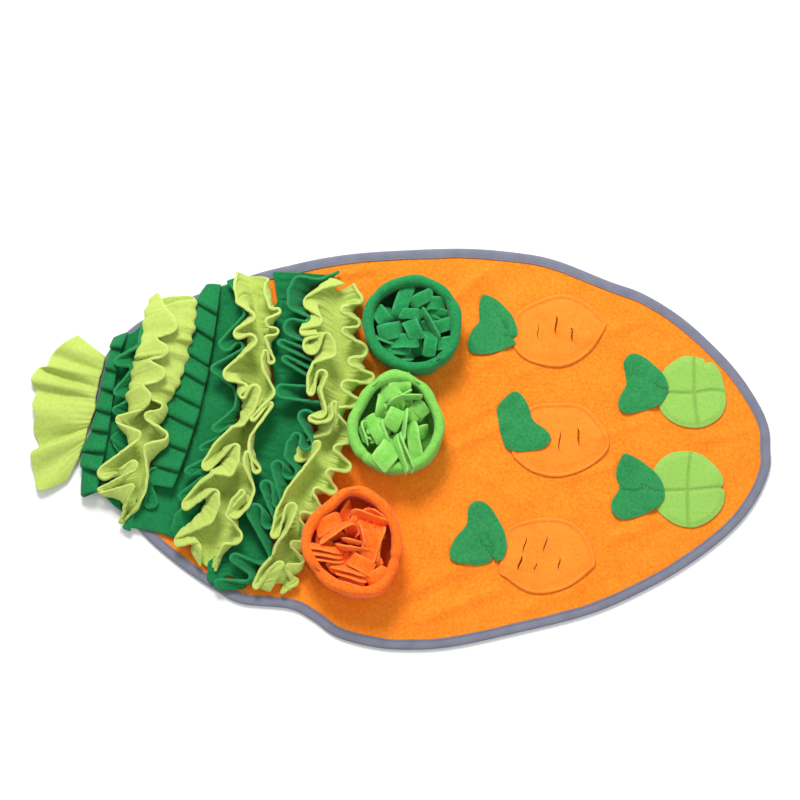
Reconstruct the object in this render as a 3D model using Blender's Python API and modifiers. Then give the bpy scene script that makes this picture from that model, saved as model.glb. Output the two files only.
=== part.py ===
# Snuffle mat: a carrot-shaped fleece mat with a taped edge, a lime leaf fan and six
# ruffle rows at its blunt end, three soft cups with cut strips, and flat patches.
# Metres, +Z up. The mat lies on z = 0, its middle at the origin, its pointed end at +X.
import math

import bpy
import bmesh
from mathutils import Vector

# Overall size. The tables below are in layout steps: "right" and "down" are counted from
# the top left corner of a square sheet, and the mat covers LENGTH_STEPS of it.
MAT_LENGTH = 0.750
LENGTH_STEPS = 738
STEP = MAT_LENGTH / LENGTH_STEPS
SHEET_MIDDLE = (400, 447.5)
SHEET_TILT = math.radians(80)     # the sheet is read along this slope, so height shows too
MM = 0.001

GAP = 0.0003                      # between pieces that touch
TAPE = 0.8 * MM
BASE_LOW = TAPE + GAP             # underside of the base's rim, on the tape
BASE_TOP = 2.5 * MM
TAPE_TOP = BASE_TOP + GAP + TAPE
BINDING_WIDTH = 10 * MM
RIM_SIDE = 1.4 * MM               # from the tape's outer face to the base's cut edge
TAPE_SIDE = 0.6 * MM              # between the tape's lower edge and the base's flat underside
EDGE_SAMPLES = 88

RUFFLE_THICK = 2.0 * MM
SEAM_BAND = 5 * MM                # flat stitched band down each strip's middle
CLOTH_CLEAR = GAP + 0.75 * RUFFLE_THICK    # from what the cloth lies on to its middle
SEAM_Z = BASE_TOP + CLOTH_CLEAR
TAPE_REACH = BINDING_WIDTH + 5 * MM       # closer to the mat's edge cloth lies on the tape
TAPE_RAMP = 8 * MM
SEAM_SAMPLES = 121
ARC_STEP = math.radians(75)       # one sample for each such part of a bend
LINE_STEP = 16 * MM
STEEPEST = 0.98                   # limit of (difference of radii) / distance between two pegs
FULLEST_BEND = 1.75 * math.pi     # more than this round a peg is a bend the other way
MID_FOLD = 1.15                   # a fold's radius midway up, against its carry
SEAM_LOOK = 0.01                  # part of the seam over which its heading is read

CUP_SEGMENTS = 26
CUP_FOOT = BASE_TOP + GAP
CUP_FLOOR = 2.0 * MM
CUP_WALL = 4.0 * MM
STRIP_THICK = 2.0 * MM
PATCH_THICK = 1.6 * MM
ROUND_THICK = 2.2 * MM
LEAF_THICK = 1.6 * MM
LEAF_REST = 0.55 * LEAF_THICK             # from what a leaf lies on to its middle
LEAF_POINTS = 18
LEAF_RINGS = (0.0, 0.35, 0.7)             # outline, then parts of the way to the middle
LEAF_RAMP = (14 * MM, 3 * MM)             # a leaf climbs over this stretch before a neighbour

# name: (red, green, blue), roughness
COLOURS = {
    "orange": ((0.95, 0.24, 0.03), 0.95),
    "tape": ((0.17, 0.17, 0.24), 0.80),
    "lime": ((0.53, 0.72, 0.12), 0.95),
    "green": ((0.02, 0.25, 0.07), 0.95),
    "cup green": ((0.04, 0.36, 0.11), 0.95),
    "light green": ((0.28, 0.78, 0.12), 0.95),
    "round green": ((0.38, 0.72, 0.12), 0.95),
    "leaf green": ((0.05, 0.34, 0.10), 0.95),
}

# Outer edge of the taped mat, clockwise from the pointed end: (right, down)
MAT_OUTLINE = [
    (769, 447), (768, 470), (754, 501), (730, 530), (692, 560), (648, 586), (589, 612), (510, 632),
    (446, 645), (399, 647), (366, 643), (336, 634), (313, 618), (290, 607), (243, 602), (217, 589),
    (195, 575), (172, 558), (149, 538), (120, 508), (102, 482), (94, 455), (92, 425), (96, 390),
    (106, 355), (131, 328), (157, 312), (185, 299), (209, 290), (257, 273), (289, 265), (321, 258),
    (356, 253), (399, 250), (463, 248), (516, 252), (557, 260), (610, 281), (645, 294), (683, 318),
    (718, 350), (742, 378), (760, 407), (768, 428),
]

# Each ruffle is one strip sewn down its middle. Its seam is a line of (right, down). Each
# half's cut edge runs round pegs, one for each fold: (right, down, radius, height in mm).
# "carry" is how far out the half already is midway up, and "rise" how high it is there.
RUFFLES = {
    "ruffle_b": dict(
        colour="green",
        seam=[(126, 336), (113, 364), (110, 395), (107, 430), (103, 460), (99, 492)],
        left=dict(carry=0.7, rise=0.65, pegs=[
            (114, 338, 0, 7), (106, 374, 1.6, 12), (107, 370, 1.6, 6), (100, 401, 1.6, 12),
            (101, 397, 1.6, 6), (93, 431, 1.6, 12), (94, 427, 1.6, 6), (83, 455, 1.6, 12),
            (84, 451, 1.6, 9), (84, 474, 5, 9), (85, 497, 0, 7)]),
        right=dict(carry=0.5, rise=0.75, pegs=[
            (141, 323, 0, 12), (135, 344, 6, 17), (119, 362, 4.5, 17), (132, 370, 3, 15),
            (121, 392, 4.5, 17), (129, 400, 3, 14), (119, 410, 4, 14), (126, 424, 4, 9),
            (119, 438, 4.5, 9), (124, 455, 4, 7), (112, 486, 0, 6)]),
    ),
    "ruffle_c": dict(
        colour="lime",
        seam=[(168, 296), (160, 330), (154, 365), (148, 400), (145, 430), (143.5, 463), (140, 485),
              (130, 514)],
        left=dict(carry=0.55, rise=0.75, pegs=[
            (160, 294, 0, 12), (150, 330, 7, 20), (144, 350, 2, 24), (140.5, 363, 4.5, 25),
            (127, 394, 4, 26), (121.5, 421.5, 4.2, 20),
            (139, 434, 5, 30), (107, 472, 7.5, 18), (136.5, 463.5, 5, 30), (101.5, 489, 2.5, 15),
            (134.5, 485.5, 3.6, 29), (120, 522, 0, 8)]),
        right=dict(carry=1.2, rise=0.55, pegs=[
            (187, 304, 0, 12), (172, 319, 5, 27), (182, 333, 3.5, 25), (167, 347, 4, 29),
            (162, 365, 4, 29), (159, 384, 4, 28), (168, 402, 4, 22), (153, 414, 5, 31),
            (164, 434, 5, 26), (150, 446, 4, 31), (147, 474, 3.5, 25), (139, 500, 3, 18),
            (130, 516, 0, 8)]),
    ),
    "ruffle_d": dict(
        colour="green",
        seam=[(222, 286), (213, 330), (203, 380), (193, 430), (178, 480), (160, 532)],
        left=dict(carry=0.7, rise=0.65, pegs=[
            (212, 285, 0, 7), (198, 322, 1.6, 12), (199, 318, 1.6, 6), (187, 361, 1.6, 12),
            (188, 357, 1.6, 6), (176, 396, 1.6, 12), (177, 392, 1.6, 6), (169, 430, 1.6, 12),
            (170, 426, 1.6, 6), (167, 462, 4, 10), (160, 472, 5, 13), (158, 502, 6, 14),
            (152, 492, 2, 12), (133, 531, 0, 7)]),
        right=dict(carry=0.5, rise=0.75, pegs=[
            (226, 281, 0, 12), (235, 300, 5, 17), (240, 314, 4, 22), (226, 345, 7.0, 24),
            (238.5, 346.5, 4.4, 22), (215.5, 369, 4.5, 19), (228, 392, 7, 14), (229, 405, 6, 14),
            (217, 428.5, 4.5, 18), (230, 428, 3, 15), (204, 448, 4.2, 19), (215, 450, 3, 16),
            (190, 470.5, 4.5, 19), (203, 471, 3, 15), (184, 496, 4.8, 16), (197, 492, 3, 13),
            (180, 516, 5, 11), (175, 536, 0, 7)]),
    ),
    "ruffle_e": dict(
        colour="lime",
        seam=[(250, 276), (256, 310), (261, 341), (262, 370), (264, 392), (247, 420), (244, 450),
              (233, 475), (225, 493), (223, 515), (214, 545), (209, 566)],
        left=dict(carry=0.45, rise=0.7, pegs=[
            (237, 272, 0, 18), (240, 302, 3.5, 30), (251, 318, 5, 35), (239, 334.5, 5, 32),
            (252, 341, 6.5, 37), (231, 375, 7, 29), (246, 388, 3.6, 34), (245, 396, 3, 33),
            (257, 390.5, 6, 36), (242, 421, 5.5, 35), (235, 429, 2.6, 33), (208, 465.5, 5.5, 24),
            (238, 447.5, 4.2, 34), (231, 470, 6, 34), (218, 477, 4, 32), (187.5, 505.5, 4.5, 20),
            (218.5, 493, 4, 32), (209, 515, 9, 28), (180.5, 541.5, 4.5, 16),
            (198, 547.5, 6, 20), (203, 566, 0, 10)]),
        right=dict(carry=0.45, rise=0.7, pegs=[
            (264, 282, 0, 24), (273, 306, 3.8, 32), (278, 311, 2.8, 31), (270.5, 322, 5, 34),
            (275.5, 331, 3.5, 31), (268, 338, 2.8, 34), (272, 361, 3.2, 30),
            (266, 352, 2.4, 34), (267, 368, 4, 34), (268.5, 392, 7, 30), (254, 419, 2.4, 35),
            (272, 404, 2.8, 29), (258.5, 430.5, 2.5, 34), (256, 442, 6, 33),
            (257, 457, 4, 33), (258, 469.5, 3.8, 31), (248.5, 453, 2.4, 35),
            (252, 463, -7, 35), (245, 489, 11, 31), (236, 511.5, 6, 32), (243.5, 490.5, 2.6, 36),
            (232, 513, 4.5, 34), (236, 534.5, 8, 26), (228, 545.5, 4.5, 24), (217, 570, 0, 10)]),
    ),
    "ruffle_f": dict(
        colour="green",
        seam=[(300, 272), (294, 310), (292, 360), (292, 400), (281, 450), (266, 490), (252, 530),
              (232, 575)],
        left=dict(carry=0.55, rise=0.6, pegs=[
            (279, 271, 0, 8), (283, 300, 4, 14), (279, 322, 4, 15), (286, 345, 4, 13),
            (284, 372, 5, 9), (276, 415, 6, 8), (270, 440, 5, 7), (256, 470, 6, 7),
            (252, 510, 6, 7), (240, 540, 6, 7), (225, 563, 5, 7), (217, 583, 0, 6)]),
        right=dict(carry=0.45, rise=0.7, pegs=[
            (340, 270, 0, 9), (317, 270, -9, 15), (299.5, 284, 8.5, 24), (295, 303, 8, 27),
            (306, 319, 3.2, 27), (292, 327.5, 9, 29), (302, 351, 2.8, 26), (286, 354, 3, 27),
            (308.5, 367, 3.4, 26), (289, 367.5, 3, 27), (310, 381, 3.4, 25), (284, 396, 7, 24),
            (319, 408.5, 7, 22), (305, 416.5, 7, 28), (306, 443.5, 6.5, 28),
            (296, 436.5, 4.6, 29), (291, 455, 6.5, 28), (291.5, 472.5, 7.6, 25),
            (277.5, 465, 6, 28), (277.5, 503, 4, 21), (266.5, 484.5, 5.8, 28),
            (268.5, 521, 6.5, 20), (255, 509.5, 8, 25), (262, 555, 8, 21), (236, 556, 5, 18),
            (246, 574, 4.8, 14), (219, 581, 4, 9), (219, 588, 0, 7)]),
    ),
    "ruffle_g": dict(
        colour="lime",
        seam=[(338, 290), (339, 320), (344, 345), (342, 403), (334, 424), (330, 443), (318, 467),
              (303, 495), (300, 520), (290, 560), (284, 582)],
        left=dict(carry=0.4, rise=0.7, pegs=[
            (346, 284, 0, 18), (310, 304, 7, 25), (318, 322, 5, 34), (304, 333, 3.5, 31),
            (317, 337, 1.6, 34), (312, 347.5, 8.2, 32), (328.5, 338, 4.5, 35),
            (332, 352.5, 6, 33), (312, 364, 2.6, 33), (310, 393, 3.2, 31),
            (323, 375, 5.5, 35), (329.5, 391, -7, 35), (320, 411.5, 7.5, 34),
            (311.5, 419, 2.8, 33), (325, 413.5, 9.5, 34), (336, 403, 2.4, 36),
            (327, 430, 5, 24), (300, 452.5, 10, 19), (318, 443.5, 4.3, 32), (298, 494, -12, 28),
            (276, 533.5, 4, 26), (293.5, 506, 6, 33), (297, 530, -7, 33), (281, 558, -8, 25),
            (257.5, 584, 3.5, 13), (282.5, 562, 4, 24), (272, 590, 0, 9)]),
        right=dict(carry=0.6, rise=0.65, pegs=[
            (352, 284, 0, 14), (355, 301, 6, 20), (347, 321, 4, 29), (357, 339, 6, 23),
            (354, 356, 4, 27), (364, 372, 5, 20), (351, 397, 5, 26), (342, 424, 4, 30),
            (344, 461, 5.5, 20), (333, 468, 5.5, 25), (335, 481, 4, 19), (312, 495, 5, 25),
            (306, 520, 4, 24), (299, 545, 6, 20), (300, 562, 5, 14), (294, 576, 4, 11),
            (284, 592, 0, 8)]),
    ),
}

# The leaf fan's ribs, from its top edge to its bottom edge: root, tip, and the cloth's
# height in mm at the root, midway and at the tip.
FAN_RIBS = [
    # root right, down, tip right, down, root height, mid height, tip height
    (105, 357, 77, 335, 5.5, 4.5, 3.0),
    (104, 364, 61, 345, 6.0, 7.5, 5.5),
    (102, 373, 50, 356, 5.5, 4.5, 2.2),
    (100, 379, 47, 366, 6.5, 9.5, 7.5),
    (98, 390, 38, 368, 5.5, 4.0, 2.0),
    (97, 394, 31, 380, 6.5, 9.0, 6.0),
    (96, 401, 36, 391, 6.0, 4.5, 2.0),
    (96, 409, 33, 404, 6.5, 8.0, 6.5),
    (93, 418, 36, 415, 6.5, 9.0, 7.5),
    (91, 424, 34, 430, 6.5, 7.5, 3.5),
    (89, 428, 40, 447, 5.5, 3.5, 1.8),
    (88, 434, 32, 455, 6.5, 8.5, 6.0),
    (86, 442, 36, 476, 6.0, 4.5, 2.0),
    (83, 449, 42, 491, 5.5, 5.5, 6.0),
    (80, 458, 69, 480, 5.5, 4.5, 3.0),
]
FAN_THICK = 2.2 * MM
FAN_ROWS = 6

# Cups: middle of the rim, its outer radius in steps at equal angles from the right turning
# towards the top, its height in mm at the same angles, and the rolled rim's width in mm.
CUPS = {
    "cup_dark": dict(colour="cup green", middle=(411, 322), rim=8, foot=0.86,
                     radii=[50, 50, 49, 48, 48, 49, 48, 48, 47, 50, 52, 52],
                     heights=[42, 42, 43, 43, 42, 42, 41, 40, 40, 40, 40, 41]),
    "cup_light": dict(colour="light green", middle=(396, 422), rim=8, foot=0.86,
                      radii=[48, 47, 51, 53, 49, 45, 48, 50, 50, 49, 50, 49],
                      heights=[42, 42, 42, 43, 43, 42, 42, 41, 40, 40, 40, 41]),
    "cup_orange": dict(colour="orange", middle=(353, 539), rim=8, foot=0.88,
                       radii=[49, 50, 53, 57, 48, 49, 51, 49, 50, 53, 58, 52],
                       heights=[41, 41, 42, 43, 42, 41, 41, 41, 40, 40, 41, 41]),
}

# Cut strips in each cup: where the root stands, where the tip ends, the tip's height in mm,
# the strip's width in mm and how far its broad side is turned, in degrees.
TUFTS = {
    "tuft_dark": dict(cup="cup_dark", strips=[
        # root right, down, tip right, down, tip height, width, turn
        (398, 322, 379, 312, 33, 15, 35), (404, 330, 382, 334, 35, 15, -30),
        (405, 311, 406, 288, 34, 14, 5), (416, 308, 428, 293, 38, 13, 20),
        (425, 317, 445, 307, 36, 11, 40), (424, 324, 434, 332, 38, 12, -62),
        (426, 332, 447, 344, 36, 14, -25), (418, 338, 428, 352, 34, 13, 10),
        (408, 336, 410, 334, 40, 13, 20), (402, 340, 396, 352, 31, 14, 0),
        (412, 324, 400, 306, 40, 14, -20)]),
    "tuft_light": dict(cup="cup_light", strips=[
        (397, 411, 394, 384, 34, 15, 0), (385, 417, 378, 402, 28, 13, -20),
        (398, 420, 392, 412, 40, 15, 30), (404, 416, 408, 398, 40, 13, 10),
        (407, 423, 418, 419, 38, 12, 30), (408, 431, 418, 443, 36, 13, 35),
        (400, 436, 402, 460, 34, 12, 10), (389, 434, 380, 456, 30, 15, -15),
        (384, 426, 374, 430, 34, 12, 60), (392, 426, 390, 438, 38, 11, -60)]),
    "tuft_orange": dict(cup="cup_orange", strips=[
        (346, 530, 332, 524, 34, 15, 35), (344, 538, 326, 544, 33, 14, -15),
        (346, 551, 329, 560, 30, 13, -8), (352, 535, 343, 535, 38, 12, 35),
        (357, 530, 352, 518, 39, 12, 20), (364, 536, 376, 534, 37, 15, -70),
        (358, 546, 364, 560, 37, 15, -25), (352, 550, 350, 566, 34, 15, -5),
        (352, 556, 354, 573, 30, 14, -10), (364, 554, 378, 574, 31, 15, 30)]),
}
TUFT_BACKING = (20 * MM, 2.4 * MM)        # radius and thickness
TUFT_ROOT = (0.60 * MM, 0.12 * MM)        # a strip starts this deep, each next one deeper
STRIP_SECTIONS = 4
STRIP_BOW = 1.6                           # above 1 a strip rises first and bends over later
STRIP_NECK = (0.45, 0.45)                 # root's part of the width, and where it is all there

# Carrot patches, leaves and rounds: outlines as (right, down)
PATCHES = {
    "patch_top": [(515, 332), (515, 316), (532, 303), (562, 294), (586, 302), (605, 320),
                  (604, 332), (588, 354), (563, 367), (532, 363), (514, 348)],
    "patch_middle": [(511, 451), (519, 428), (530, 407), (560, 403), (583, 406), (600, 423),
                     (609, 442), (603, 456), (583, 470), (559, 477), (537, 474), (521, 465)],
    "patch_bottom": [(498, 570), (502, 548), (506, 529), (525, 520), (548, 517), (571, 522),
                     (587, 539), (594, 561), (588, 570), (568, 585), (545, 592), (525, 590),
                     (505, 577)],
}
# Each leaf's outline, and the piece whose edge it overlaps
LEAVES = {
    "leaf_a": dict(over="patch_top", outline=[
        (482, 296), (490, 296), (499, 301), (511, 314), (517, 328), (517, 340), (511, 347),
        (491, 354), (472, 353), (468, 344), (472, 331), (479, 321), (479, 308)]),
    "leaf_b": dict(over="patch_middle", outline=[
        (514, 392), (506, 397), (497, 408), (498, 420), (501, 436), (507, 449), (523, 452),
        (542, 449), (550, 439), (545, 430), (533, 421), (528, 406), (521, 395)]),
    "leaf_c": dict(over="patch_bottom", outline=[
        (476, 501), (468, 508), (466, 524), (455, 537), (449, 552), (454, 561), (475, 564),
        (492, 560), (502, 558), (506, 547), (505, 536), (499, 521), (488, 505)]),
    "leaf_d": dict(over="round_top", outline=[
        (624, 362), (632, 354), (644, 357), (656, 367), (665, 378), (668, 391), (659, 405),
        (642, 411), (625, 414), (618, 407), (620, 396), (626, 385), (625, 374)]),
    "leaf_e": dict(over="round_bottom", outline=[
        (625, 454), (619, 460), (615, 474), (618, 488), (611, 500), (610, 510), (617, 518),
        (630, 518), (651, 510), (662, 500), (662, 486), (655, 474), (640, 461)]),
}
ROUNDS = {
    "round_top": [(726, 398), (723, 412), (714, 422), (698, 428), (680, 426), (665, 417),
                  (657, 402), (657, 384), (664, 370), (676, 360), (688, 356), (703, 359),
                  (715, 364), (722, 378)],
    "round_bottom": [(722, 486), (723, 500), (715, 514), (703, 523), (689, 527), (672, 523),
                     (657, 511), (649, 494), (651, 473), (663, 457), (681, 451), (699, 454),
                     (713, 465), (721, 477)],
}


# ---------------------------------------------------------------- measuring

def place(right, down, height=0.0):
    """A layout point at a height in metres, in world coordinates."""
    across = (right - SHEET_MIDDLE[0]) * STEP
    along = ((SHEET_MIDDLE[1] - down) * STEP - height * math.cos(SHEET_TILT)) / math.sin(SHEET_TILT)
    return Vector((across, along, height))


def smooth_line(points, count, closed=False):
    """A Catmull-Rom curve through the points, read at count equal lengths."""
    last = len(points) if closed else len(points) - 1
    dense = []
    for i in range(last):
        if closed:
            a, b, c, d = (points[(i + k) % len(points)] for k in (-1, 0, 1, 2))
        else:
            a, b, c, d = (points[min(max(i + k, 0), len(points) - 1)] for k in (-1, 0, 1, 2))
        for k in range(12):
            t = k / 12
            dense.append(0.5 * (2 * b + (c - a) * t + (2 * a - 5 * b + 4 * c - d) * t * t
                                + (3 * b - a - 3 * c + d) * t ** 3))
    dense.append(points[0] if closed else points[-1])
    lengths = [0.0]
    for p, q in zip(dense, dense[1:]):
        lengths.append(lengths[-1] + (q - p).length)
    result = []
    steps = count if closed else count - 1
    j = 0
    for i in range(count):
        want = lengths[-1] * i / steps
        while j < len(dense) - 2 and lengths[j + 1] < want:
            j += 1
        span = lengths[j + 1] - lengths[j]
        result.append(dense[j].lerp(dense[j + 1], (want - lengths[j]) / span if span else 0.0))
    return result


def inset(line, distance):
    """A closed line in XY moved to its left by a distance (inwards where it turns left)."""
    moved = []
    for i, point in enumerate(line):
        run = line[(i + 1) % len(line)] - line[i - 1]
        side = Vector((-run.y, run.x, 0)).normalized()
        moved.append(point + side * distance)
    return moved


def mat_line():
    """The mat's outer edge, turning left."""
    line = smooth_line([place(right, down) for right, down in MAT_OUTLINE], EDGE_SAMPLES, True)
    return line[::-1]


def soft_step(f):
    f = max(0.0, min(1.0, f))
    return f * f * (3 - 2 * f)


def outside_by(line, spot):
    """How far a point lies outside a closed line, both in XY; negative inside it."""
    nearest = math.inf
    inside = False
    for a, b in zip(line, line[1:] + line[:1]):
        run = b - a
        along = max(0.0, min(1.0, (spot - a).dot(run) / run.length_squared))
        nearest = min(nearest, (a + run * along - spot).length)
        if (a.y > spot.y) != (b.y > spot.y) and spot.x < a.x + run.x * (spot.y - a.y) / run.y:
            inside = not inside
    return -nearest if inside else nearest


def laid(point, edge):
    """The point, lifted where it would press into the base or the tape along its edge."""
    on_tape = soft_step((outside_by(edge, point.xy) + TAPE_REACH + TAPE_RAMP) / TAPE_RAMP)
    lowest = BASE_TOP + (TAPE_TOP - BASE_TOP) * on_tape + CLOTH_CLEAR
    return Vector((point.x, point.y, max(point.z, lowest)))


# ---------------------------------------------------------------- objects

def material(name):
    colour, roughness = COLOURS[name]
    made = bpy.data.materials.get(name) or bpy.data.materials.new(name)
    made.use_nodes = True
    shader = made.node_tree.nodes["Principled BSDF"]
    shader.inputs["Base Color"].default_value = (*colour, 1)
    shader.inputs["Roughness"].default_value = roughness
    shader.inputs["Metallic"].default_value = 0
    made.diffuse_color = (*colour, 1)
    return made


def new_object(name, mesh_data, colour, collection):
    made = bpy.data.objects.new(name, mesh_data)
    made.data.materials.append(material(colour))
    collection.objects.link(made)
    return made


def rings_mesh(name, rings, closed_tube=False):
    """Quads between rings of equal count, with a flat cap at each end of an open tube."""
    mesh_data = bpy.data.meshes.new(name)
    count = len(rings[0])
    points = [p for ring in rings for p in ring]
    faces = []
    for r in range(len(rings) if closed_tube else len(rings) - 1):
        low = r * count
        high = (r + 1) % len(rings) * count
        for i in range(count):
            j = (i + 1) % count
            faces.append((low + i, low + j, high + j, high + i))
    if not closed_tube:
        faces.append(tuple(range(count))[::-1])
        faces.append(tuple(range(len(points) - count, len(points))))
    mesh_data.from_pydata(points, [], faces)
    return mesh_data


def solidify(thing, thickness):
    wall = thing.modifiers.new("thickness", "SOLIDIFY")
    wall.thickness = thickness
    wall.offset = 0
    return wall


# ---------------------------------------------------------------- base and binding

def make_base(collection):
    line = mat_line()
    inner = inset(line, BINDING_WIDTH + TAPE_SIDE)
    outer = inset(line, RIM_SIDE)
    up = Vector((0, 0, 1))
    rings = [inner, [p + up * BASE_LOW for p in inner], [p + up * BASE_LOW for p in outer],
             [p + up * BASE_TOP for p in outer]]
    return new_object("base", rings_mesh("base", rings), "orange", collection)


def make_binding(collection):
    line = mat_line()
    inner = inset(line, BINDING_WIDTH)
    fold = inset(line, TAPE)
    up = Vector((0, 0, 1))
    levels = [(inner, 0), (line, 0), (line, TAPE_TOP), (inner, TAPE_TOP), (inner, TAPE_TOP - TAPE),
              (fold, TAPE_TOP - TAPE), (fold, TAPE), (inner, TAPE)]
    rings = [[p + up * z for p in ring] for ring, z in levels]
    return new_object("binding", rings_mesh("binding", rings, True), "tape", collection)


# ---------------------------------------------------------------- ruffles

def left_of(heading):
    return Vector((-math.sin(heading), math.cos(heading)))


def bend_sides(pegs):
    """1 where the belt turns left round a peg, -1 where it turns right. A peg with a negative
    radius is passed on its other side."""
    sides = [1] * len(pegs)
    for i in range(1, len(pegs) - 1):
        before = pegs[i][0] - pegs[i - 1][0]
        after = pegs[i + 1][0] - pegs[i][0]
        sides[i] = 1 if before.cross(after) * pegs[i][1] > 0 else -1
    return sides


def belt(pegs, sides):
    """The stretches of a belt round the pegs, an arc at each peg and a straight between:
    each is (point at 0..1, length, turned angle)."""
    headings = []
    for i in range(len(pegs) - 1):
        (a, ra, _), (b, rb, _) = pegs[i], pegs[i + 1]
        across = sides[i + 1] * rb - sides[i] * ra
        apart = b - a
        ratio = max(-STEEPEST, min(STEEPEST, across / apart.length))
        headings.append(math.atan2(apart.y, apart.x) - math.asin(ratio))
    stretches = []
    for i, (centre, radius, height) in enumerate(pegs):
        if 0 < i < len(pegs) - 1:
            start = headings[i - 1]
            turned = (headings[i] - start) * sides[i] % (2 * math.pi)
            if turned > FULLEST_BEND:
                turned -= 2 * math.pi
            turned *= sides[i]

            def arc(f, c=centre, r=radius, s=sides[i], start=start, turned=turned, z=height):
                spot = c - left_of(start + turned * f) * (s * r)
                return Vector((spot.x, spot.y, z))

            stretches.append((arc, abs(turned) * radius, abs(turned)))
        if i < len(pegs) - 1:
            low = centre - left_of(headings[i]) * (sides[i] * radius)
            high = pegs[i + 1][0] - left_of(headings[i]) * (sides[i + 1] * pegs[i + 1][1])

            def straight(f, low=low, high=high, z0=height, z1=pegs[i + 1][2]):
                spot = low.lerp(high, f)
                return Vector((spot.x, spot.y, z0 + (z1 - z0) * f))

            stretches.append((straight, (high - low).length, 0.0))
    return stretches


def stations(stretches):
    """Where the cut edge is sampled: (stretch, 0..1), closer together round a bend."""
    spots = [(0, 0.0)]
    for index, (_, length, turned) in enumerate(stretches):
        parts = max(1, math.ceil(turned / ARC_STEP) if turned else round(length / LINE_STEP))
        spots += [(index, k / parts) for k in range(1, parts + 1)]
    return spots


def nearest_fraction(line, spot):
    distances = [(p.xy - spot).length for p in line]
    return distances.index(min(distances)) / (len(line) - 1)


def rising(values):
    """The values smoothed, and made to rise from 0 to 1."""
    least = 0.25 / len(values)
    soft = values[:]
    for _ in range(2):
        soft = ([0.0] + [0.25 * soft[i - 1] + 0.5 * soft[i] + 0.25 * soft[i + 1]
                         for i in range(1, len(soft) - 1)] + [1.0])
    for i in range(1, len(soft)):
        soft[i] = max(soft[i], soft[i - 1] + least)
    return [value / soft[-1] for value in soft]


def read_line(line, fraction):
    spot = max(0.0, min(1.0, fraction)) * (len(line) - 1)
    low = min(int(spot), len(line) - 2)
    return line[low].lerp(line[low + 1], spot - low)


def half_rows(seam, half, side, mat_edge):
    """Three rows of points of one half of a strip: cut edge, midway and root. side is -1
    for the left half and 1 for the right. Also the root's places along the seam, 0..1."""
    pegs = [(place(right, down, height * MM).xy, radius * STEP, height * MM)
            for right, down, radius, height in half["pegs"]]
    sides = bend_sides(pegs)
    pegs = [(centre, abs(radius), height) for centre, radius, height in pegs]
    edge = belt(pegs, sides)
    peg_spots = rising([nearest_fraction(seam, peg[0]) for peg in pegs])
    mids = []
    for (centre, radius, height), fraction in zip(pegs, peg_spots):
        root = read_line(seam, fraction)
        mids.append((root.xy.lerp(centre, half["carry"]), radius * min(half["carry"] * MID_FOLD, 1),
                     SEAM_Z + (height - SEAM_Z) * half["rise"]))
    middle = belt(mids, sides)

    starts = [0.0]
    for _, length, _ in edge:
        starts.append(starts[-1] + length)
    keys = [(0.0, 0.0)]
    for i in range(1, len(pegs) - 1):
        keys.append(((starts[2 * i - 1] + starts[2 * i]) / 2, peg_spots[i]))
    keys.append((starts[-1], 1.0))

    rows = [[], [], []]
    fractions = []
    for index, f in stations(edge):
        far = starts[index] + edge[index][1] * f
        k = 0
        while k < len(keys) - 2 and keys[k + 1][0] < far:
            k += 1
        (x0, q0), (x1, q1) = keys[k], keys[k + 1]
        fraction = q0 + (q1 - q0) * (far - x0) / (x1 - x0)
        ahead = read_line(seam, fraction + SEAM_LOOK) - read_line(seam, fraction - SEAM_LOOK)
        away = Vector((-ahead.y, ahead.x, 0)).normalized() * (side * SEAM_BAND / 2)
        rows[0].append(laid(edge[index][0](f), mat_edge))
        rows[1].append(laid(middle[index][0](f), mat_edge))
        rows[2].append(laid(read_line(seam, fraction) + away, mat_edge))
        fractions.append(fraction)
    return rows, fractions


def make_ruffle(name, row, mat_edge, collection):
    seam = smooth_line([place(right, down, SEAM_Z) for right, down in row["seam"]], SEAM_SAMPLES)
    left, left_spots = half_rows(seam, row["left"], -1, mat_edge)
    right, right_spots = half_rows(seam, row["right"], 1, mat_edge)
    work = bmesh.new()
    left_points = [[work.verts.new(p) for p in line] for line in left]
    right_points = [[work.verts.new(p) for p in line] for line in right]
    lines = [(left_points[0], left_points[1]), (left_points[1], left_points[2]),
             (right_points[2], right_points[1]), (right_points[1], right_points[0])]
    for a, b in lines:
        for i in range(len(a) - 1):
            work.faces.new((a[i], b[i], b[i + 1], a[i + 1]))
    i, j = 0, 0
    a, b = left_points[2], right_points[2]
    while i < len(a) - 1 or j < len(b) - 1:
        if j == len(b) - 1 or (i < len(a) - 1 and left_spots[i + 1] < right_spots[j + 1]):
            work.faces.new((a[i], b[j], a[i + 1]))
            i += 1
        else:
            work.faces.new((a[i], b[j], b[j + 1]))
            j += 1
    mesh_data = bpy.data.meshes.new(name)
    work.to_mesh(mesh_data)
    work.free()
    strip = new_object(name, mesh_data, row["colour"], collection)
    solidify(strip, RUFFLE_THICK)
    return strip


# ---------------------------------------------------------------- leaf fan

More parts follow.
